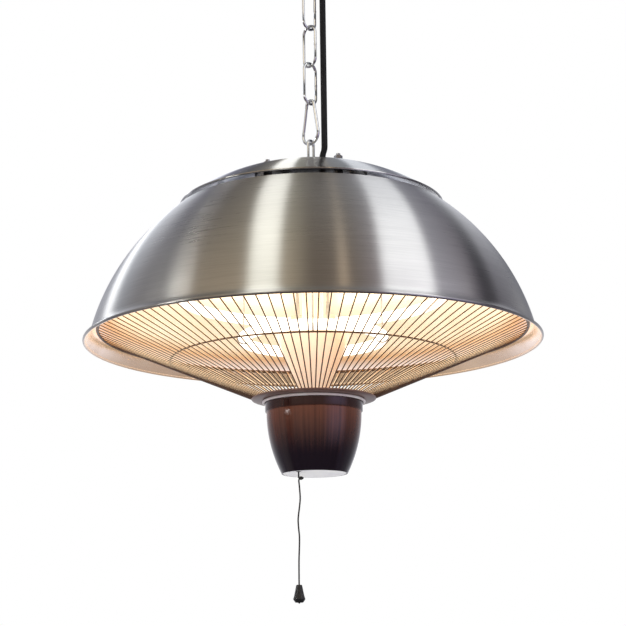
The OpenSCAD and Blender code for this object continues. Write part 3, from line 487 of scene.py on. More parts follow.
def close_up(piece):
    """Merges doubles, fills open ends and turns all faces outwards."""
    edit_all()
    bpy.ops.mesh.remove_doubles(threshold=2e-6)
    bpy.ops.mesh.fill_holes(sides=0)
    edit_all()
    bpy.ops.mesh.normals_make_consistent(inside=False)
    leave_edit()
    return piece


def smooth(piece, angle=35.0):
    pick(piece)
    bpy.ops.object.shade_smooth_by_angle(angle=math.radians(angle))
    return piece


def use_modifier(piece, kind, **settings):
    pick(piece)
    modifier = piece.modifiers.new(kind, kind)
    for name, value in settings.items():
        setattr(modifier, name, value)
    bpy.ops.object.modifier_apply(modifier=modifier.name)
    return piece


def move_aside(x, y=0.0):
    """Moves the piece just made off the Z axis."""
    edit_all()
    bpy.ops.transform.translate(value=(x, y, 0))
    leave_edit()


def drill(piece, place, radius, sides=32):
    """Cuts a round hole straight through a plate."""
    deselect()
    bpy.ops.mesh.primitive_cylinder_add(vertices=sides, radius=radius, depth=0.02, location=place)
    bit = take("drill")
    use_modifier(piece, "BOOLEAN", operation="DIFFERENCE", solver="EXACT", object=bit)
    bpy.data.objects.remove(bit)


def join(name, *pieces):
    pick(*pieces)
    bpy.ops.object.join()
    pieces[0].name = name
    pieces[0].data.name = name
    return pieces[0]


def dress(piece, slot):
    piece.data.materials.clear()
    piece.data.materials.append(FINISHES[slot])


def fit(piece, body, slot, *nodes):
    """Gives a piece its finish and its body, and hides the solids that it stands for."""
    dress(piece, slot)
    if body:
        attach(piece, body)
    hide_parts(*nodes)
    return piece


def line_inside(piece, centre_z, slot, shelf_r=0.0, shelf_slot=None):
    """Gives the faces that look into a shell their own finish, and those of its shelf another."""
    piece.data.materials.append(FINISHES[slot])
    if shelf_slot:
        piece.data.materials.append(FINISHES[shelf_slot])
    centre = Vector((0, 0, centre_z))
    for face in piece.data.polygons:
        if face.center.xy.length < shelf_r:
            face.material_index = 2
        elif face.normal.dot(face.center - centre) < 0:
            face.material_index = 1


def lathe(name, outline, steps=160):
    """Draws an outline of (radius, height) points from one point and spins it round the Z axis."""
    deselect()
    bpy.ops.mesh.primitive_plane_add(size=0.01)
    piece = take(name)
    edit_all()
    bpy.ops.mesh.select_mode(type="VERT")
    bpy.ops.mesh.merge(type="CENTER")
    radius, height = outline[0]
    bpy.ops.transform.translate(value=(radius, 0, height))
    for there in [*outline[1:], outline[0]]:
        step = (there[0] - radius, 0, there[1] - height)
        bpy.ops.mesh.extrude_region_move(TRANSFORM_OT_translate={"value": step})
        radius, height = there
    edit_all()
    bpy.ops.mesh.remove_doubles(threshold=1e-7)
    edit_all()
    bpy.ops.mesh.spin(steps=steps, angle=math.tau, center=(0, 0, 0), axis=(0, 0, 1))
    return smooth(close_up(piece))


class BentWire:
    """A round wire drawn from one end to the other, by straight runs and round bends."""

    def __init__(self, name, start, heading, thickness, sides=16):
        deselect()
        turn = UP.rotation_difference(Vector(heading)).to_euler()
        bpy.ops.mesh.primitive_circle_add(
            vertices=sides, radius=thickness / 2, fill_type="NOTHING", location=start, rotation=turn)
        self.piece = take(name)
        self.here = Vector(start)
        edit_all()

    def run(self, there, swell=1.0):
        there = Vector(there)
        bpy.ops.mesh.extrude_region_move(TRANSFORM_OT_translate={"value": there - self.here})
        self.here = there
        if swell != 1.0:
            bpy.ops.transform.resize(value=(swell, swell, swell), center_override=there)
        return self

    def bend(self, centre, axis, angle, steps=12):
        centre = Vector(centre)
        bpy.ops.mesh.spin(steps=steps, angle=-angle, center=centre, axis=axis)
        self.here = centre + Matrix.Rotation(angle, 3, Vector(axis)) @ (self.here - centre)
        return self

    def done(self):
        return smooth(close_up(self.piece))


def wire_along(name, route, heading, thickness, sides):
    wire = BentWire(name, route[0], heading, thickness, sides)
    for point in route[1:]:
        wire.run(point)
    return wire.done()


def bent_ring(name, radius, height, thickness, steps):
    ring = BentWire(name, (radius, 0, height), (0, 1, 0), thickness, 14)
    return ring.bend((0, 0, height), UP, math.tau, steps).done()


def staple(name, side, bend, ends_z, bend_z, thickness):
    """A wire bent into a U, with both of its ends at one height."""
    heading = UP if bend_z > ends_z else -UP
    wire = BentWire(name, bend * side + UP * ends_z, heading, thickness)
    wire.run(bend * side + UP * bend_z)
    wire.bend(UP * bend_z, side.cross(heading), math.pi)
    return wire.run(-bend * side + UP * ends_z).done()


def sphere_arc(radius, centre_z, low, high, steps):
    """Points up a sphere's section from one height to another, even along the arc."""
    first = math.asin((low - centre_z) / radius)
    last = math.asin(max(-1.0, min(1.0, (high - centre_z) / radius)))
    turns = [first + (last - first) * k / steps for k in range(steps + 1)]
    return [(radius * math.cos(a), centre_z + radius * math.sin(a)) for a in turns]


def arc(centre, radius, first, last, steps):
    """Points of an arc in an outline, between two angles in degrees."""
    turns = [math.radians(first + (last - first) * k / steps) for k in range(steps + 1)]
    return [(centre[0] + radius * math.cos(a), centre[1] + radius * math.sin(a)) for a in turns]


def smooth_route(points, steps):
    """A smooth curve through points, with a few steps between each two."""
    ends = [points[0], *points, points[-1]]
    route = []
    for k in range(1, len(ends) - 2):
        before, here, there, after = (Vector(p) for p in ends[k - 1:k + 3])
        for step in range(steps):
            t = step / steps
            route.append(0.5 * (
                2 * here + (there - before) * t
                + (2 * before - 5 * here + 4 * there - after) * t * t
                + (3 * here - before - 3 * there + after) * t ** 3))
    return [*route, Vector(points[-1])]


def side_of(turn):
    """Direction across a wire form whose plane is turned about Z, in degrees."""
    return Vector((math.cos(math.radians(turn)), math.sin(math.radians(turn)), 0))


def rim(height_mm):
    """Place on the Z axis of a height above the shade's rim, in millimetres."""
    return RIM_Z + height_mm * MM


def heights(node):
    """Lowest and highest point of a solid."""
    return [corner.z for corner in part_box(node)]


def in_mm(outline, base=0.0):
    """An outline given in millimetres, from a base height in metres."""
    return [(radius * MM, base + height * MM) for radius, height in outline]


# Operators, one for each piece or group of like pieces


class HEATER_OT_camera(bpy.types.Operator):
    """Places the camera at the photograph's viewing angle"""

    bl_idname = "heater.camera"
    bl_label = "Camera"

    def execute(self, context):
        deselect()
        bpy.ops.object.camera_add(location=(0.0002, -1.3682, -0.656))
        camera = context.object
        camera.name = "View"
        camera.rotation_mode = "ZYX"
        camera.rotation_euler = (math.radians(90 + 12.803), 0, math.radians(-0.7))
        camera.data.sensor_width = 36
        camera.data.lens = 86.27
        camera.data.clip_start = 0.05
        context.scene.camera = camera
        return {"FINISHED"}


class HEATER_OT_mains_cable(bpy.types.Operator):
    """Runs the mains cable down beside the chain, in one stretch at each joint, to its gland"""

    bl_idname = "heater.mains_cable"
    bl_label = "Mains cable"

    def execute(self, context):
        size = context.scene.heater_sizes
        cuts = [-0.003, -0.04015, -0.07875, -0.11735, -0.15685]
        stretches = [
            ("ceiling", "link_top", "top_swing", ["cable_ceiling", "cable_link_top"]),
            ("link_top", "link_mid", "mid_swing", ["cable_link_mid"]),
            ("link_mid", "link_low", "low_swing", ["cable_link_low"]),
            ("link_low", "snap_hook", "hook_swing", ["cable_hook"]),
        ]
        for number, (above, below, joint, nodes) in enumerate(stretches):
            high, low = cuts[number], cuts[number + 1]
            points = [Vector((CABLE_X, 0, high + (low - high) * k / 16)) for k in range(17)]
            self.stretch(number, points, above, below, joint, nodes, size.cable)
        lean = smooth_route([
            (CABLE_X, 0, cuts[4]), (CABLE_X, 0, -0.170), (CABLE_X, 0, rim(198)),
            (CABLE_X - 0.0002, 0, rim(191)), (GLAND_X + 0.0004, 0, rim(185)),
            (GLAND_X, 0, rim(180)), (GLAND_X, 0, rim(168)),
        ], 4)
        self.stretch(4, lean, "snap_hook", "heater", "heater_swing", ["cable_heater"], size.cable)
        return {"FINISHED"}

    def stretch(self, number, points, above, below, joint, nodes, thickness):
        wire = wire_along(f"cable_{number}", points, -UP, thickness, 20)
        piece = fit(wire, None, "cable_rubber", *nodes)
        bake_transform(piece)


class HEATER_OT_pull_cord(bpy.types.Operator):
    """Hangs the pull cord, its knot and its knob under the pot"""

    bl_idname = "heater.pull_cord"
    bl_label = "Pull cord"

    def execute(self, context):
        size = context.scene.heater_sizes
        top = heights("pull_cord")[1]
        sway = [
            (0.6, 2.2), (0.1, 0), (0.3, -2), (0.8, -8), (1.2, -16), (0.4, -24), (-0.8, -34),
            (-0.5, -42), (0.2, -50), (0, -60), (-0.4, -70), (-0.5, -80), (-0.5, -92.6),
        ]
        route = smooth_route([(CORD_X + x * MM, CORD_Y, top + z * MM) for x, z in sway], 3)
        wire = wire_along("pull_cord_string", route, -UP, size.string, 10)
        string = fit(wire, "cord", "pull_string", "pull_cord")
        self.knob()
        self.knot(size.string)
        return {"FINISHED"}

    def knob(self):
        outline = [
            (0, 0), (2.3, 0), (2.75, -0.5), (3.2, -3.0), (3.9, -6.5), (4.7, -10.0), (5.45, -12.2),
            (5.35, -12.9), (3.7, -15.2), (3.3, -15.5), (0.9, -15.5), (0.7, -16.3), (0, -16.4),
        ]
        knob = lathe("pull_knob_bell", in_mm(outline, heights("pull_knob")[1]), 10)
        move_aside(CORD_X - 0.0005, CORD_Y)
        use_modifier(
            knob, "BEVEL", width=0.0003, segments=2, limit_method="ANGLE", angle_limit=math.radians(18))
        smooth(knob, 30)
        return fit(knob, "cord", "black_plastic", "pull_knob")

    def knot(self, thickness):
        x, y = CORD_X, CORD_Y
        foot, head = heights("pull_plunger")
        low = foot + 0.0022
        outline = [(0, -23.0), (1.2, -23.0), (1.2, -6.1), (3, -6.1), (3, -0.5), (2.6, 0), (0, 0)]
        rod = lathe("plunger_rod", in_mm(outline, head), 24)
        move_aside(x, y)
        tail = BentWire("knot_tail", (x, y, head - 0.0226), -UP, thickness, 10)
        tail.run((x, y, low))
        strands = [tail.done()]
        beside = x + 0.0021
        turns = 40
        loop = []
        for k in range(turns + 1):
            a = math.tau * k / turns
            spread = 0.0012 * (2 + math.cos(3 * a)) / 2
            loop.append(Vector((
                beside + spread * math.cos(2 * a), y + spread * math.sin(2 * a),
                low + 0.0009 * math.sin(3 * a))))
        strands.append(wire_along("knot_loop", loop, loop[1] - loop[0], thickness, 10))
        deselect()
        middle = (beside, y, low)
        bpy.ops.mesh.primitive_uv_sphere_add(segments=20, ring_count=12, radius=0.0016, location=middle)
        core = take("knot_core")
        edit_all()
        bpy.ops.transform.resize(value=(1.1, 1.0, 1.05), center_override=middle)
        strands.append(smooth(close_up(core)))
        stub = BentWire("knot_stub", (x - 0.0006, y, low + 0.0008), (1, 0, -0.3), thickness, 10)
        stub.run(middle)
        strands.append(stub.done())
        fit(join("knot_and_plunger", rod, *strands), "plunger", "pull_string", "pull_plunger")


class HEATER_OT_ceiling_plate(bpy.types.Operator):
    """Turns the ceiling plate, bends its eye and moulds the cord grip"""

    bl_idname = "heater.ceiling_plate"
    bl_label = "Ceiling plate"

    def execute(self, context):
        outline = in_mm([(0, 0), (39.2, 0), (40, -0.8), (40, -2.2), (38.8, -3), (0, -3)])
        plate = lathe("ceiling_plate_disc", outline, 96)
        screw_circle, screw_hole, cable_hole = 0.03, 0.0025, 0.0033
        for turn in (90, 210, 330):
            drill(plate, screw_circle * side_of(turn), screw_hole)
        drill(plate, (CABLE_X, 0, 0), cable_hole)
        fit(smooth(plate, 30), "ceiling", "zinc_plate", "ceiling_plate")
        bend, thick = 0.007, 0.0032
        bend_z = JOINT_Z["top_swing"] - (thick + PLAY) / 2 + bend
        eye = staple("ceiling_eye_wire", side_of(-45), bend, -0.0031, bend_z, thick)
        fit(eye, "ceiling", "chrome_wire", "ceiling_eye")
        ribs = [(3.1, -3.05), (6.5, -3.05), (6.5, -10.6), (6.1, -11.0)]
        for k in range(4):
            z = -11.2 - 1.45 * k
            wide = 6.0 - 0.36 * k
            ribs += [(wide, z), (wide, z - 0.75), (wide - 0.7, z - 0.85), (wide - 0.7, z - 1.35)]
        ribs += [(3.8, -17.0), (3.1, -17.0)]
        grip = lathe("cord_grip_boot", in_mm(ribs), 40)
        move_aside(CABLE_X)
        fit(grip, "ceiling", "black_plastic", "cord_grip")
        return {"FINISHED"}


class HEATER_OT_chain(bpy.types.Operator):
    """Bends the three chain links, each with its weld"""

    bl_idname = "heater.chain"
    bl_label = "Chain"

    def execute(self, context):
        for name, turn in (("top", 45), ("mid", -45), ("low", 45)):
            self.link(name, side_of(turn), context.scene.heater_sizes)
        return {"FINISHED"}

    def link(self, name, side, size):
        bend = (size.link_width - size.link_wire) / 2
        crown = (size.link_wire + PLAY) / 2
        joint_z = JOINT_Z[f"{name}_swing"]
        high = joint_z + crown - bend
        low = joint_z - LINK_PITCH - crown + bend
        leg = bend * side
        weld = leg + UP * (high + low) / 2
        swell, crest, reach = 1.13, UP * 0.0005, UP * 0.0012
        link = BentWire(f"chain_link_{name}_wire", weld - reach, UP, size.link_wire)
        link.run(weld - crest, swell)
        link.run(weld + crest)
        link.run(weld + reach, 1 / swell)
        link.run(leg + UP * high)
        link.bend(UP * high, side.cross(UP), math.pi)
        link.run(-leg + UP * low)
        link.bend(UP * low, side.cross(UP), math.pi)
        link.run(weld - reach)
        fit(link.done(), f"link_{name}", "chrome_wire", f"chain_link_{name}")


class HEATER_OT_snap_hook(bpy.types.Operator):
    """Bends the snap hook from its tongue round to its nose"""

    bl_idname = "heater.snap_hook"
    bl_label = "Snap hook"

    def execute(self, context):
        wire = context.scene.heater_sizes.hook_wire
        side = side_of(-45)
        small, large = 0.005, 0.010
        high = JOINT_Z["hook_swing"] + (wire + PLAY) / 2 - small
        low = JOINT_Z["heater_swing"] - (wire + PLAY) / 2 + large
        lean = math.asin((large - small) / (high - low))
        out_right = math.cos(lean) * side + math.sin(lean) * UP
        out_left = -math.cos(lean) * side + math.sin(lean) * UP
        gate_top = UP * high + small * out_left
        gate_low = UP * low + large * out_left
        gate_run = (gate_low - gate_top).normalized()
        hook = BentWire("snap_hook_wire", gate_top, -gate_run, wire)
        hook.bend(UP * high, UP.cross(side), math.pi - 2 * lean)
        hook.run(UP * low + large * out_right)
        hook.bend(UP * low, UP.cross(side), math.pi + 2 * lean, 18)
        hook.run(gate_low - gate_run * 0.0010)
        hook.run(gate_low - gate_run * 0.0015, 0.8)
        frame_wire = hook.done()
        deselect()
        turn = UP.rotation_difference(gate_run).to_euler()
        middle = gate_top + gate_run * 0.0018
        bpy.ops.mesh.primitive_cylinder_add(
            vertices=24, radius=wire / 2 * 0.98, depth=0.0044, location=middle, rotation=turn)
        tongue = take("tongue")
        normal = side.cross(UP)
        half_tongue = 0.0006
        for way in (1, -1):
            edit_all()
            flat = gate_top + way * half_tongue * normal
            bpy.ops.mesh.bisect(plane_co=flat, plane_no=way * normal, use_fill=True, clear_outer=True)
        close_up(tongue)
        smooth(tongue)
        fit(join("snap_hook_frame", frame_wire, tongue), "snap_hook", "chrome_wire", "hook_frame")
        return {"FINISHED"}


class HEATER_OT_hanger(bpy.types.Operator):
    """Bends the hanger that the snap hook carries"""

    bl_idname = "heater.hanger"
    bl_label = "Hanger"

    def execute(self, context):
        bend, thick = 0.0038, 0.0028
        bend_z = JOINT_Z["heater_swing"] + (thick + PLAY) / 2 - bend
        hanger = staple("hanger_wire", side_of(50), bend, heights("hanger")[0], bend_z, thick)
        fit(hanger, "heater", "chrome_wire", "hanger")
        return {"FINISHED"}


class HEATER_OT_shade(bpy.types.Operator):
    """Spins the shade with its rolled bead and the flange at its top edge"""

    bl_idname = "heater.shade"
    bl_label = "Shade"

    def execute(self, context):
        size = context.scene.heater_sizes
        sphere, wall = size.dome_radius, size.sheet
        centre = rim(-44)
        top = rim(126)
        skirt = rim(6)
        bead_centre = (size.rim_radius - BEAD, RIM_Z)
        outer = sphere_arc(sphere, centre, skirt, top - 0.0004, 44)
        inner = sphere_arc(sphere - wall, centre, skirt, top - wall, 30)[::-1]
        edge = outer[-1][0]
        shelf, lip = 0.062, 0.0004
        flare, drop = 0.0021, 0.0033
        outline = [
            *arc(bead_centre, BEAD, 172, 468, 20), (outer[0][0] + flare, skirt - drop), *outer,
            (edge - 0.0003, top), (shelf + lip, top), (shelf, top - wall / 2), (shelf + lip, top - wall),
            *inner, (inner[-1][0] + flare, skirt - drop - wall / 2),
        ]
        shade = lathe("shade_spun", outline, 220)
        fit(shade, "heater", "brushed_shade", "shade")
        line_inside(shade, centre, "lit_sheet", edge - 0.0006, "rolled_sheet")
        return {"FINISHED"}


class HEATER_OT_cap(bpy.types.Operator):
    """Spins the cap over the vent, with a hem round its edge"""

    bl_idname = "heater.cap"
    bl_label = "Cap"

    def execute(self, context):
        size = context.scene.heater_sizes
        sphere, wall = size.cap_radius, size.sheet
        edge_r, edge_z = 0.1246, rim(131.4)
        centre = edge_z - math.sqrt(sphere ** 2 - edge_r ** 2)
        outer = sphere_arc(sphere, centre, edge_z + 0.0007, centre + sphere, 30)
        inner = sphere_arc(sphere - wall, centre, edge_z + 0.0007, centre + sphere - wall, 24)[::-1]
        outer[-1] = (0, centre + sphere)
        inner[0] = (0, centre + sphere - wall)
        hem = arc((edge_r - 0.0005, edge_z), 0.001, 150, 400, 14)
        cap = lathe("cap_spun", [*hem, *outer, *inner], 180)
        dress(fit(cap, "heater", "brushed_shade", "top_cap"), "brushed_cap")
        line_inside(cap, centre, "rolled_sheet")
        return {"FINISHED"}


class HEATER_OT_gland(bpy.types.Operator):
    """Turns the cable gland with its ribbed dome nut"""

    bl_idname = "heater.gland"
    bl_label = "Cable gland"

    def execute(self, context):
        low, high = heights("cable_gland")
        dome = [
            (4.8, -9), (6, -9), (6.2, -8.6), (6.2, -6.4), (5.9, -6), (5.6, -5.8), (5.5, -3.8), (5.1, -2),
            (4.5, -0.6), (4, 0), (3.4, 0), (3.05, -0.4),
        ]
        outline = in_mm([(3.05, 0), (4.8, 0)], low) + in_mm(dome, high)
        gland = lathe("gland_body", outline, 36)
        move_aside(GLAND_X)
        fit(gland, "heater", "black_plastic", "cable_gland")
        return {"FINISHED"}


class HEATER_OT_reflector(bpy.types.Operator):
    """Spins the reflector and turns the stem with its cone"""

    bl_idname = "heater.reflector"
    bl_label = "Reflector"

    def execute(self, context):
        wall = context.scene.heater_sizes.sheet
        sphere = 0.276
        edge_z = rim(12.9)
        centre = edge_z - math.sqrt(sphere ** 2 - REFLECTOR_R ** 2)
        flat_r = 0.058
        flat_z = centre + math.sqrt(sphere ** 2 - flat_r ** 2)
        outer = sphere_arc(sphere, centre, edge_z + 0.0004, flat_z - 0.0006, 30)
        inner = sphere_arc(sphere - wall, centre, edge_z + 0.0006, flat_z - wall, 30)[::-1]
        bore = 0.0102
        outline = [
            *arc((REFLECTOR_R - 0.0006, edge_z), 0.001, 160, 390, 10), *outer,
            (flat_r - 0.001, flat_z), (bore, flat_z), (bore, flat_z - wall),
            (flat_r - 0.0012, flat_z - wall), *inner,
        ]
        fit(lathe("reflector_spun", outline, 160), "heater", "gold_reflector", "reflector")
        low, high = heights("stem")
        tube = in_mm([(8.5, 0), (9.7, 0), (10, 0.3)], low) + in_mm([(10, -0.3), (9.7, 0), (8.5, 0)], high)
        fit(lathe("stem_tube", tube, 48), "heater", "gold_reflector", "stem")
        thick = wall / MM
        foot_z = rim(-44.89)
        cone = [
            *in_mm([(10.1, 0), (13, 0), (14, 0.8)], foot_z),
            *in_mm([(37.5, -0.9), (37.6, -0.2), (37, 0), (11, 0), (11, -thick), (36.4, -thick)], rim(17)),
            *in_mm([(13.4, thick), (10.1, thick)], foot_z),
        ]
        dress(fit(lathe("stem_cone", cone, 120), "heater", "gold_reflector"), "peach_cone")
        return {"FINISHED"}


class HEATER_OT_grille(bpy.types.Operator):
    """Draws one grille wire, copies it round the axis and bends the two rings"""

    bl_idname = "heater.grille"
    bl_label = "Grille"

    def execute(self, context):
        size = context.scene.heater_sizes
        thick, count = size.grille_wire, size.grille_count
        edge_mm, foot_mm, mid_mm = 199, 57.5, 132
        edge_height, drop = 10.6, 60.1
        slope = drop / (edge_mm - foot_mm)

        def at(radius_mm):
            height = edge_height - slope * (edge_mm - radius_mm)
            return Vector((radius_mm * MM, 0, rim(height)))

        facing = Matrix.Rotation(math.pi / count, 3, "Z")
        start, *stations = [facing @ at(radius_mm) for radius_mm in (54.5, 100, 150, 197.5)]
        wire = BentWire("grille_wires_bent", start, (stations[0] - start).normalized(), thick, 8)
        for there in stations:
            wire.run(there)
        piece = close_up(wire.piece)
        edit_all()
        bpy.ops.mesh.spin(steps=count, dupli=True, angle=math.tau, center=(0, 0, 0), axis=(0, 0, 1))
        fit(smooth(close_up(piece), 50), "heater", "bronze_wire", "grille_wires")
        self.light_inside(piece, slope)
        over_wires = 0.0015 / math.cos(math.atan(slope)) + 0.0001
        outer = bent_ring("grille_ring_bent", edge_mm * MM, rim(edge_height), 0.003, 180)
        fit(outer, "heater", "bronze_wire", "grille_ring")
        mid_z = at(mid_mm).z + over_wires
        middle = bent_ring("grille_mid_ring_bent", mid_mm * MM, mid_z, 0.0016, 180)
        fit(middle, "heater", "bronze_wire", "grille_mid_ring")
        return {"FINISHED"}

    def light_inside(self, piece, slope):
        """Gives the wires' faces that look to the lamps the finish that carries their light."""
        piece.data.materials.append(FINISHES["lit_wire"])
        for face in piece.data.polygons:
            out = face.center.xy.normalized()
            to_lamps = Vector((-out.x * slope, -out.y * slope, 1)).normalized()
            if face.normal.dot(to_lamps) > 0.25:
                face.material_index = 1


class HEATER_OT_collar(bpy.types.Operator):
    """Spins the collar with a rolled lip and bends the bright trim ring"""

    bl_idname = "heater.collar"
    bl_label = "Collar and trim"

    def execute(self, context):
        low, high = heights("collar")
        outline = [
            *in_mm([(10.2, 0), (53.8, 0)], low), *arc((0.0568, high - 0.0011), 0.0008, -67, 170, 14),
            *in_mm([(53.6, 1), (10.2, 1)], low),
        ]
        fit(lathe("collar_spun", outline, 140), "heater", "collar_steel", "collar")
        trim = bent_ring("trim_ring_bent", 0.0464, sum(heights("trim_ring")) / 2, 0.0026, 120)
        # Painted sheen: the pale trim finish stands in for the chrome ring's bright reflection.
        dress(fit(trim, "heater", "chrome_wire", "trim_ring"), "pale_trim")
        return {"FINISHED"}


class HEATER_OT_pot(bpy.types.Operator):
    """Turns the pot with its neck band, and its bottom cover with the bush of the cord"""

    bl_idname = "heater.pot"
    bl_label = "Pot"

    def execute(self, context):
        low, top = heights("pot")
        band_z = top - 0.0109
        curve = 0.125
        neck, side_top = 0.045, 0.0438

        def side(z):
            return side_top - curve + math.sqrt(curve ** 2 - (band_z - z) ** 2)

        levels = [band_z - 0.0006 + (low + 0.0006 - band_z) * k / 20 for k in range(21)]
        foot = side(low)
        wall, bore, inside = 0.002, 0.0102, 0.0418
        belly = low + 0.02
        outline = [
            (bore, top), (neck - 0.0006, top), (neck, top - 0.0006),
            (neck, band_z + 0.0008), (neck - 0.0003, band_z + 0.0001), (side_top + 0.0001, band_z - 0.0002),
            *[(side(z), z) for z in levels],
            (foot - 0.0002, low), (foot - 0.0008, low), (foot - 0.0009, low + wall),
            (foot - wall, low + wall), (side(belly) - wall, belly), (inside, band_z),
            (inside, top - wall), (bore, top - wall),
        ]
        fit(lathe("pot_turned", outline, 140), "heater", "brown_pot", "pot")
        self.cover(foot - 0.0009, low)
        return {"FINISHED"}

    def cover(self, radius, low):
        high, round_edge = low + 0.002, 0.0005
        outline = [
            (0, low), (radius - round_edge, low), (radius, low + round_edge), (radius, high), (0, high)]
        disc = lathe("bottom_cover_disc", outline, 96)
        drill(disc, (CORD_X, CORD_Y, low), 0.0022, 28)
        fit(smooth(disc, 30), "heater", "pale_cover", "bottom_cover")
        outline = [
            (1.2, 2.4), (1.0, 1.6), (1.0, 0.2), (1.2, -0.3),
            (1.9, -0.3), (2.3, -0.1), (2.15, 0.0), (2.15, 2.4),
        ]
        bush = lathe("cord_bush", in_mm(outline, low), 32)
        move_aside(CORD_X, CORD_Y)
        fit(bush, "heater", "black_plastic")


class HEATER_OT_carried_solids(bpy.types.Operator):
    """Gives each solid that stays in view the finish of its slot"""

    bl_idname = "heater.carried_solids"
    bl_label = "Carried solids"

    def execute(self, context):
        slots = {part["node"]: part["material_slot"] for part in frame["record"]["subparts"]}
        for name, node in frame["nodes"].items():
            if not node.hide_render:
                dress(node, slots[name])
        return {"FINISHED"}


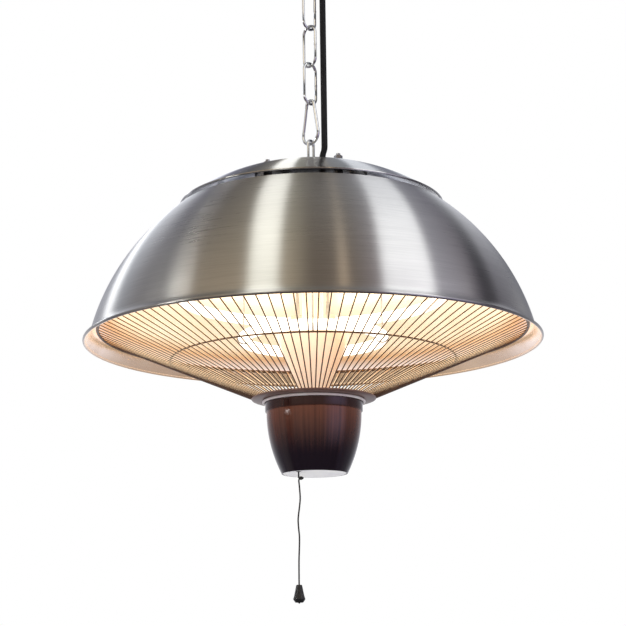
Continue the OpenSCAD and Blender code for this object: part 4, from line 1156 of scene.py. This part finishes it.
class HEATER_OT_stage(bpy.types.Operator):
    """Sets the pale floor, the soft light and the tent that the metal mirrors"""

    bl_idname = "heater.stage"
    bl_label = "Stage"

    def execute(self, context):
        scene = context.scene
        scene.view_settings.view_transform = "Standard"
        self.world(scene)
        self.floor()
        self.tent()
        deselect()
        middle = Vector((0, 0, -0.4))
        bpy.ops.object.light_add(type="AREA", location=(-1.1, -1.6, 0.7))
        key = context.object
        key.name = "key_light"
        key.data.shape = "DISK"
        key.data.size = 1.2
        key.data.energy = 16
        key.rotation_euler = (middle - key.location).to_track_quat("-Z", "Y").to_euler()
        key.visible_glossy = False
        key.visible_camera = False
        return {"FINISHED"}

    def world(self, scene):
        scene.world = bpy.data.worlds.new("Studio")
        finish = Finish(scene.world)
        seen, mirrored, through = [
            finish.node("ShaderNodeLightPath", output=f"Is {ray} Ray")
            for ray in ("Camera", "Glossy", "Transmission")]
        strength = finish.span(seen + mirrored + through, 0.0, 1.0, 0.85, 1.0)
        inputs = {"Color": (1, 1, 1, 1), "Strength": strength}
        finish.node("ShaderNodeOutputWorld", {"Surface": finish.node("ShaderNodeBackground", inputs)})

    def floor(self):
        deselect()
        bpy.ops.mesh.primitive_plane_add(size=9, location=(0, 0, -1.25))
        floor = take("floor")
        finish = new_finish("Pale floor, clear from below")
        cloud = finish.noise(1.5, 3.0)
        from_below = finish.node("ShaderNodeNewGeometry", output="Backfacing")
        floor.data.materials.append(finish.surface(
            Base_Color=finish.mix(cloud, (0.86, 0.86, 0.86), (0.9, 0.9, 0.895)), Roughness=0.85,
            Alpha=finish.span(from_below, 0.0, 1.0, 1.0, 0.0)))
        floor.visible_glossy = False

    def tent(self):
        """A sphere open behind, which lets the metal mirror the white backdrop through its opening."""
        deselect()
        centre = Vector((0, 0, TENT_Z))
        bpy.ops.mesh.primitive_uv_sphere_add(segments=72, ring_count=72, radius=TENT, location=centre)
        tent = take("studio_tent")
        bpy.ops.object.mode_set(mode="EDIT")
        bpy.ops.mesh.select_mode(type="FACE")
        bpy.ops.mesh.select_all(action="DESELECT")
        leave_edit()
        for face in tent.data.polygons:
            way = (face.center - centre).normalized()
            turn = math.degrees(math.atan2(way.x, way.y))
            rise = math.degrees(math.asin(way.z))
            face.select = -16 < turn < 3 and -8 < rise < 19
        bpy.ops.object.mode_set(mode="EDIT")
        bpy.ops.mesh.delete(type="FACE")
        bpy.ops.mesh.select_mode(type="VERT")
        leave_edit()
        tent.data.materials.append(self.studio_walls())
        for ray in ("camera", "diffuse", "transmission", "volume_scatter", "shadow"):
            setattr(tent, f"visible_{ray}", False)

    def studio_walls(self):
        """Walls, windows and floor as the metal mirrors them, by their angles from the tent's far side."""
        finish = new_finish("Studio walls")
        x, y, z = finish.axes(finish.place())
        depth = VIEW_Y * TENT - y
        climb = z - TENT_Z - VIEW_Z * TENT
        degree = math.radians(1)
        side = finish.maths("ARCTAN2", x, depth) / degree
        tilt = finish.maths("ARCTAN2", climb, (x * x + depth * depth + 1e-6) ** 0.5) / degree
        higher = finish.span(tilt, 20.0, 42.0)
        lower = finish.span(higher, 1.0, 0.0)
        by_rim = finish.span(tilt, 20.0, 12.0)

        def stripes(*stops):
            places = [((degrees + 90) / 180, colour) for degrees, colour in stops]
            return finish.ramp(side / 180 + 0.5, *places)

        def band(value, low, high, soft):
            return finish.span(value, low - soft, low + soft) * finish.span(value, high + soft, high - soft)

        low_walls = stripes(
            (-74, (0.50, 0.52, 0.60)), (-60, (0.70, 0.75, 0.86)), (-50, (0.36, 0.36, 0.40)),
            (-41, (0.27, 0.27, 0.29)), (-25, (0.31, 0.28, 0.23)), (-5, (0.40, 0.36, 0.27)),
            (0, (0.17, 0.14, 0.11)), (10, (0.21, 0.18, 0.15)), (17, (0.42, 0.39, 0.42)),
            (33, (0.44, 0.44, 0.50)), (43, (0.27, 0.25, 0.29)), (57, (0.28, 0.28, 0.33)),
            (74, (0.20, 0.21, 0.25)))
        high_walls = stripes(
            (-64, (1.6, 1.65, 1.8)), (-54, (1.2, 1.25, 1.4)), (-46, (0.26, 0.27, 0.35)),
            (-30, (0.13, 0.13, 0.145)), (-20, (0.26, 0.25, 0.24)), (-7, (0.42, 0.42, 0.38)),
            (0, (0.28, 0.275, 0.27)), (17, (0.33, 0.35, 0.39)), (33, (0.36, 0.38, 0.44)),
            (46, (0.24, 0.25, 0.31)), (55, (1.0, 1.05, 1.15)), (64, (1.6, 1.65, 1.8)))
        left_window = finish.mix(higher, (2.3, 2.3, 2.1), (1.60, 1.62, 1.60))
        left_place = finish.span(side + higher * 3.0, -16.3, -14.6) * finish.span(side, -7.6, -9.0)
        right_window = finish.mix(higher, (2.2, 2.25, 2.35), (0.95, 1.0, 1.1))
        right_place = band(side - higher * 2.5, 17.2, 31.0, 0.8)
        slit = finish.mix(by_rim, (0.60, 0.54, 0.46), (1.5, 1.15, 0.8))
        slit_place = band(side, 6.5, 8.5, 0.7) * finish.span(higher, 1.0, 0.0, 0.3)
        by_chain = stripes(*[(degrees, (grey, grey, grey)) for degrees, grey in (
            (-64, 1.1), (-56, 0.35), (-46, 0.35), (-42, 1.1), (-32, 1.1), (-28, 0.02),
            (24, 0.02), (28, 1.1), (41, 1.1), (44, 0.04), (56, 0.04), (66, 1.1))])
        chain_place = band((z - TENT_Z) / TENT, 0.305, 0.455, 0.015) * finish.span(tilt, 10.0, 7.5)
        walls = finish.mix(higher, low_walls, high_walls)
        for place, colour in (
                (by_rim * band(side, -35.0, -3.0, 3.0) * 0.75, (1.1, 0.88, 0.62)),
                (by_rim * band(side, -1.0, 28.0, 2.0) * 0.4, (0.50, 0.38, 0.28)),
                (left_place, left_window),
                (right_place, right_window),
                (slit_place, slit),
                (band(side, 46.0, 53.0, 1.5) * lower, (0.05, 0.05, 0.06)),
                (band(side, -65.5, -61.0, 1.5) * lower, (3.2, 3.3, 3.5)),
                (chain_place, by_chain)):
            walls = finish.mix(place, walls, colour)

        floor_glow = stripes(
            (-80, (0.7, 0.7, 0.75)), (-56, (0.18, 0.17, 0.20)), (-38, (0.34, 0.30, 0.28)),
            (-36, (0.01, 0.01, 0.01)), (-28, (0.01, 0.01, 0.01)), (-26, (0.36, 0.30, 0.27)),
            (10, (0.26, 0.21, 0.20)), (24, (0.70, 0.62, 0.95)), (36, (0.60, 0.56, 0.85)),
            (44, (0.16, 0.14, 0.18)), (60, (0.18, 0.18, 0.21)), (80, (0.6, 0.6, 0.65)))
        below = finish.span(tilt, -11.0, -22.0) * band(side, -40.0, 44.0, 8.0)
        floor_glow = finish.mix(below, floor_glow, (0.04, 0.035, 0.05))
        spot = band(side, -36.5, -31.0, 0.8) * band(tilt, -4.7, -2.7, 0.4)
        floor_glow = finish.mix(spot, floor_glow, (30.0, 30.0, 30.0))
        seen = finish.mix(finish.span(tilt, -2.0, 3.0), floor_glow, walls)
        return finish.material(finish.node("ShaderNodeEmission", {"Color": seen, "Strength": 1.0}))


PIECES = [
    HEATER_OT_camera,
    HEATER_OT_mains_cable,
    HEATER_OT_pull_cord,
    HEATER_OT_ceiling_plate,
    HEATER_OT_chain,
    HEATER_OT_snap_hook,
    HEATER_OT_hanger,
    HEATER_OT_shade,
    HEATER_OT_cap,
    HEATER_OT_gland,
    HEATER_OT_reflector,
    HEATER_OT_grille,
    HEATER_OT_collar,
    HEATER_OT_pot,
    HEATER_OT_carried_solids,
    HEATER_OT_stage,
]


class HEATER_PT_panel(bpy.types.Panel):
    """Lists the heater's sizes, colours and pieces"""

    bl_idname = "HEATER_PT_panel"
    bl_label = "Hanging heater"
    bl_space_type = "VIEW_3D"
    bl_region_type = "UI"
    bl_category = "Heater"

    def draw(self, context):
        for group in (context.scene.heater_sizes, context.scene.heater_colours):
            for name in group.__annotations__:
                self.layout.prop(group, name)
        for piece in PIECES:
            self.layout.operator(piece.bl_idname)


CLASSES = [HeaterSizes, HeaterColours, *PIECES, HEATER_PT_panel]


def register():
    for made in CLASSES:
        bpy.utils.register_class(made)
    bpy.types.Scene.heater_sizes = bpy.props.PointerProperty(type=HeaterSizes)
    bpy.types.Scene.heater_colours = bpy.props.PointerProperty(type=HeaterColours)


def unregister():
    del bpy.types.Scene.heater_colours
    del bpy.types.Scene.heater_sizes
    for made in reversed(CLASSES):
        bpy.utils.unregister_class(made)


def main():
    register()
    FINISHES.update(make_finishes())
    for piece in PIECES:
        group, name = piece.bl_idname.split(".")
        getattr(getattr(bpy.ops, group), name)()
    deselect()


if __name__ == "__main__":
    main()
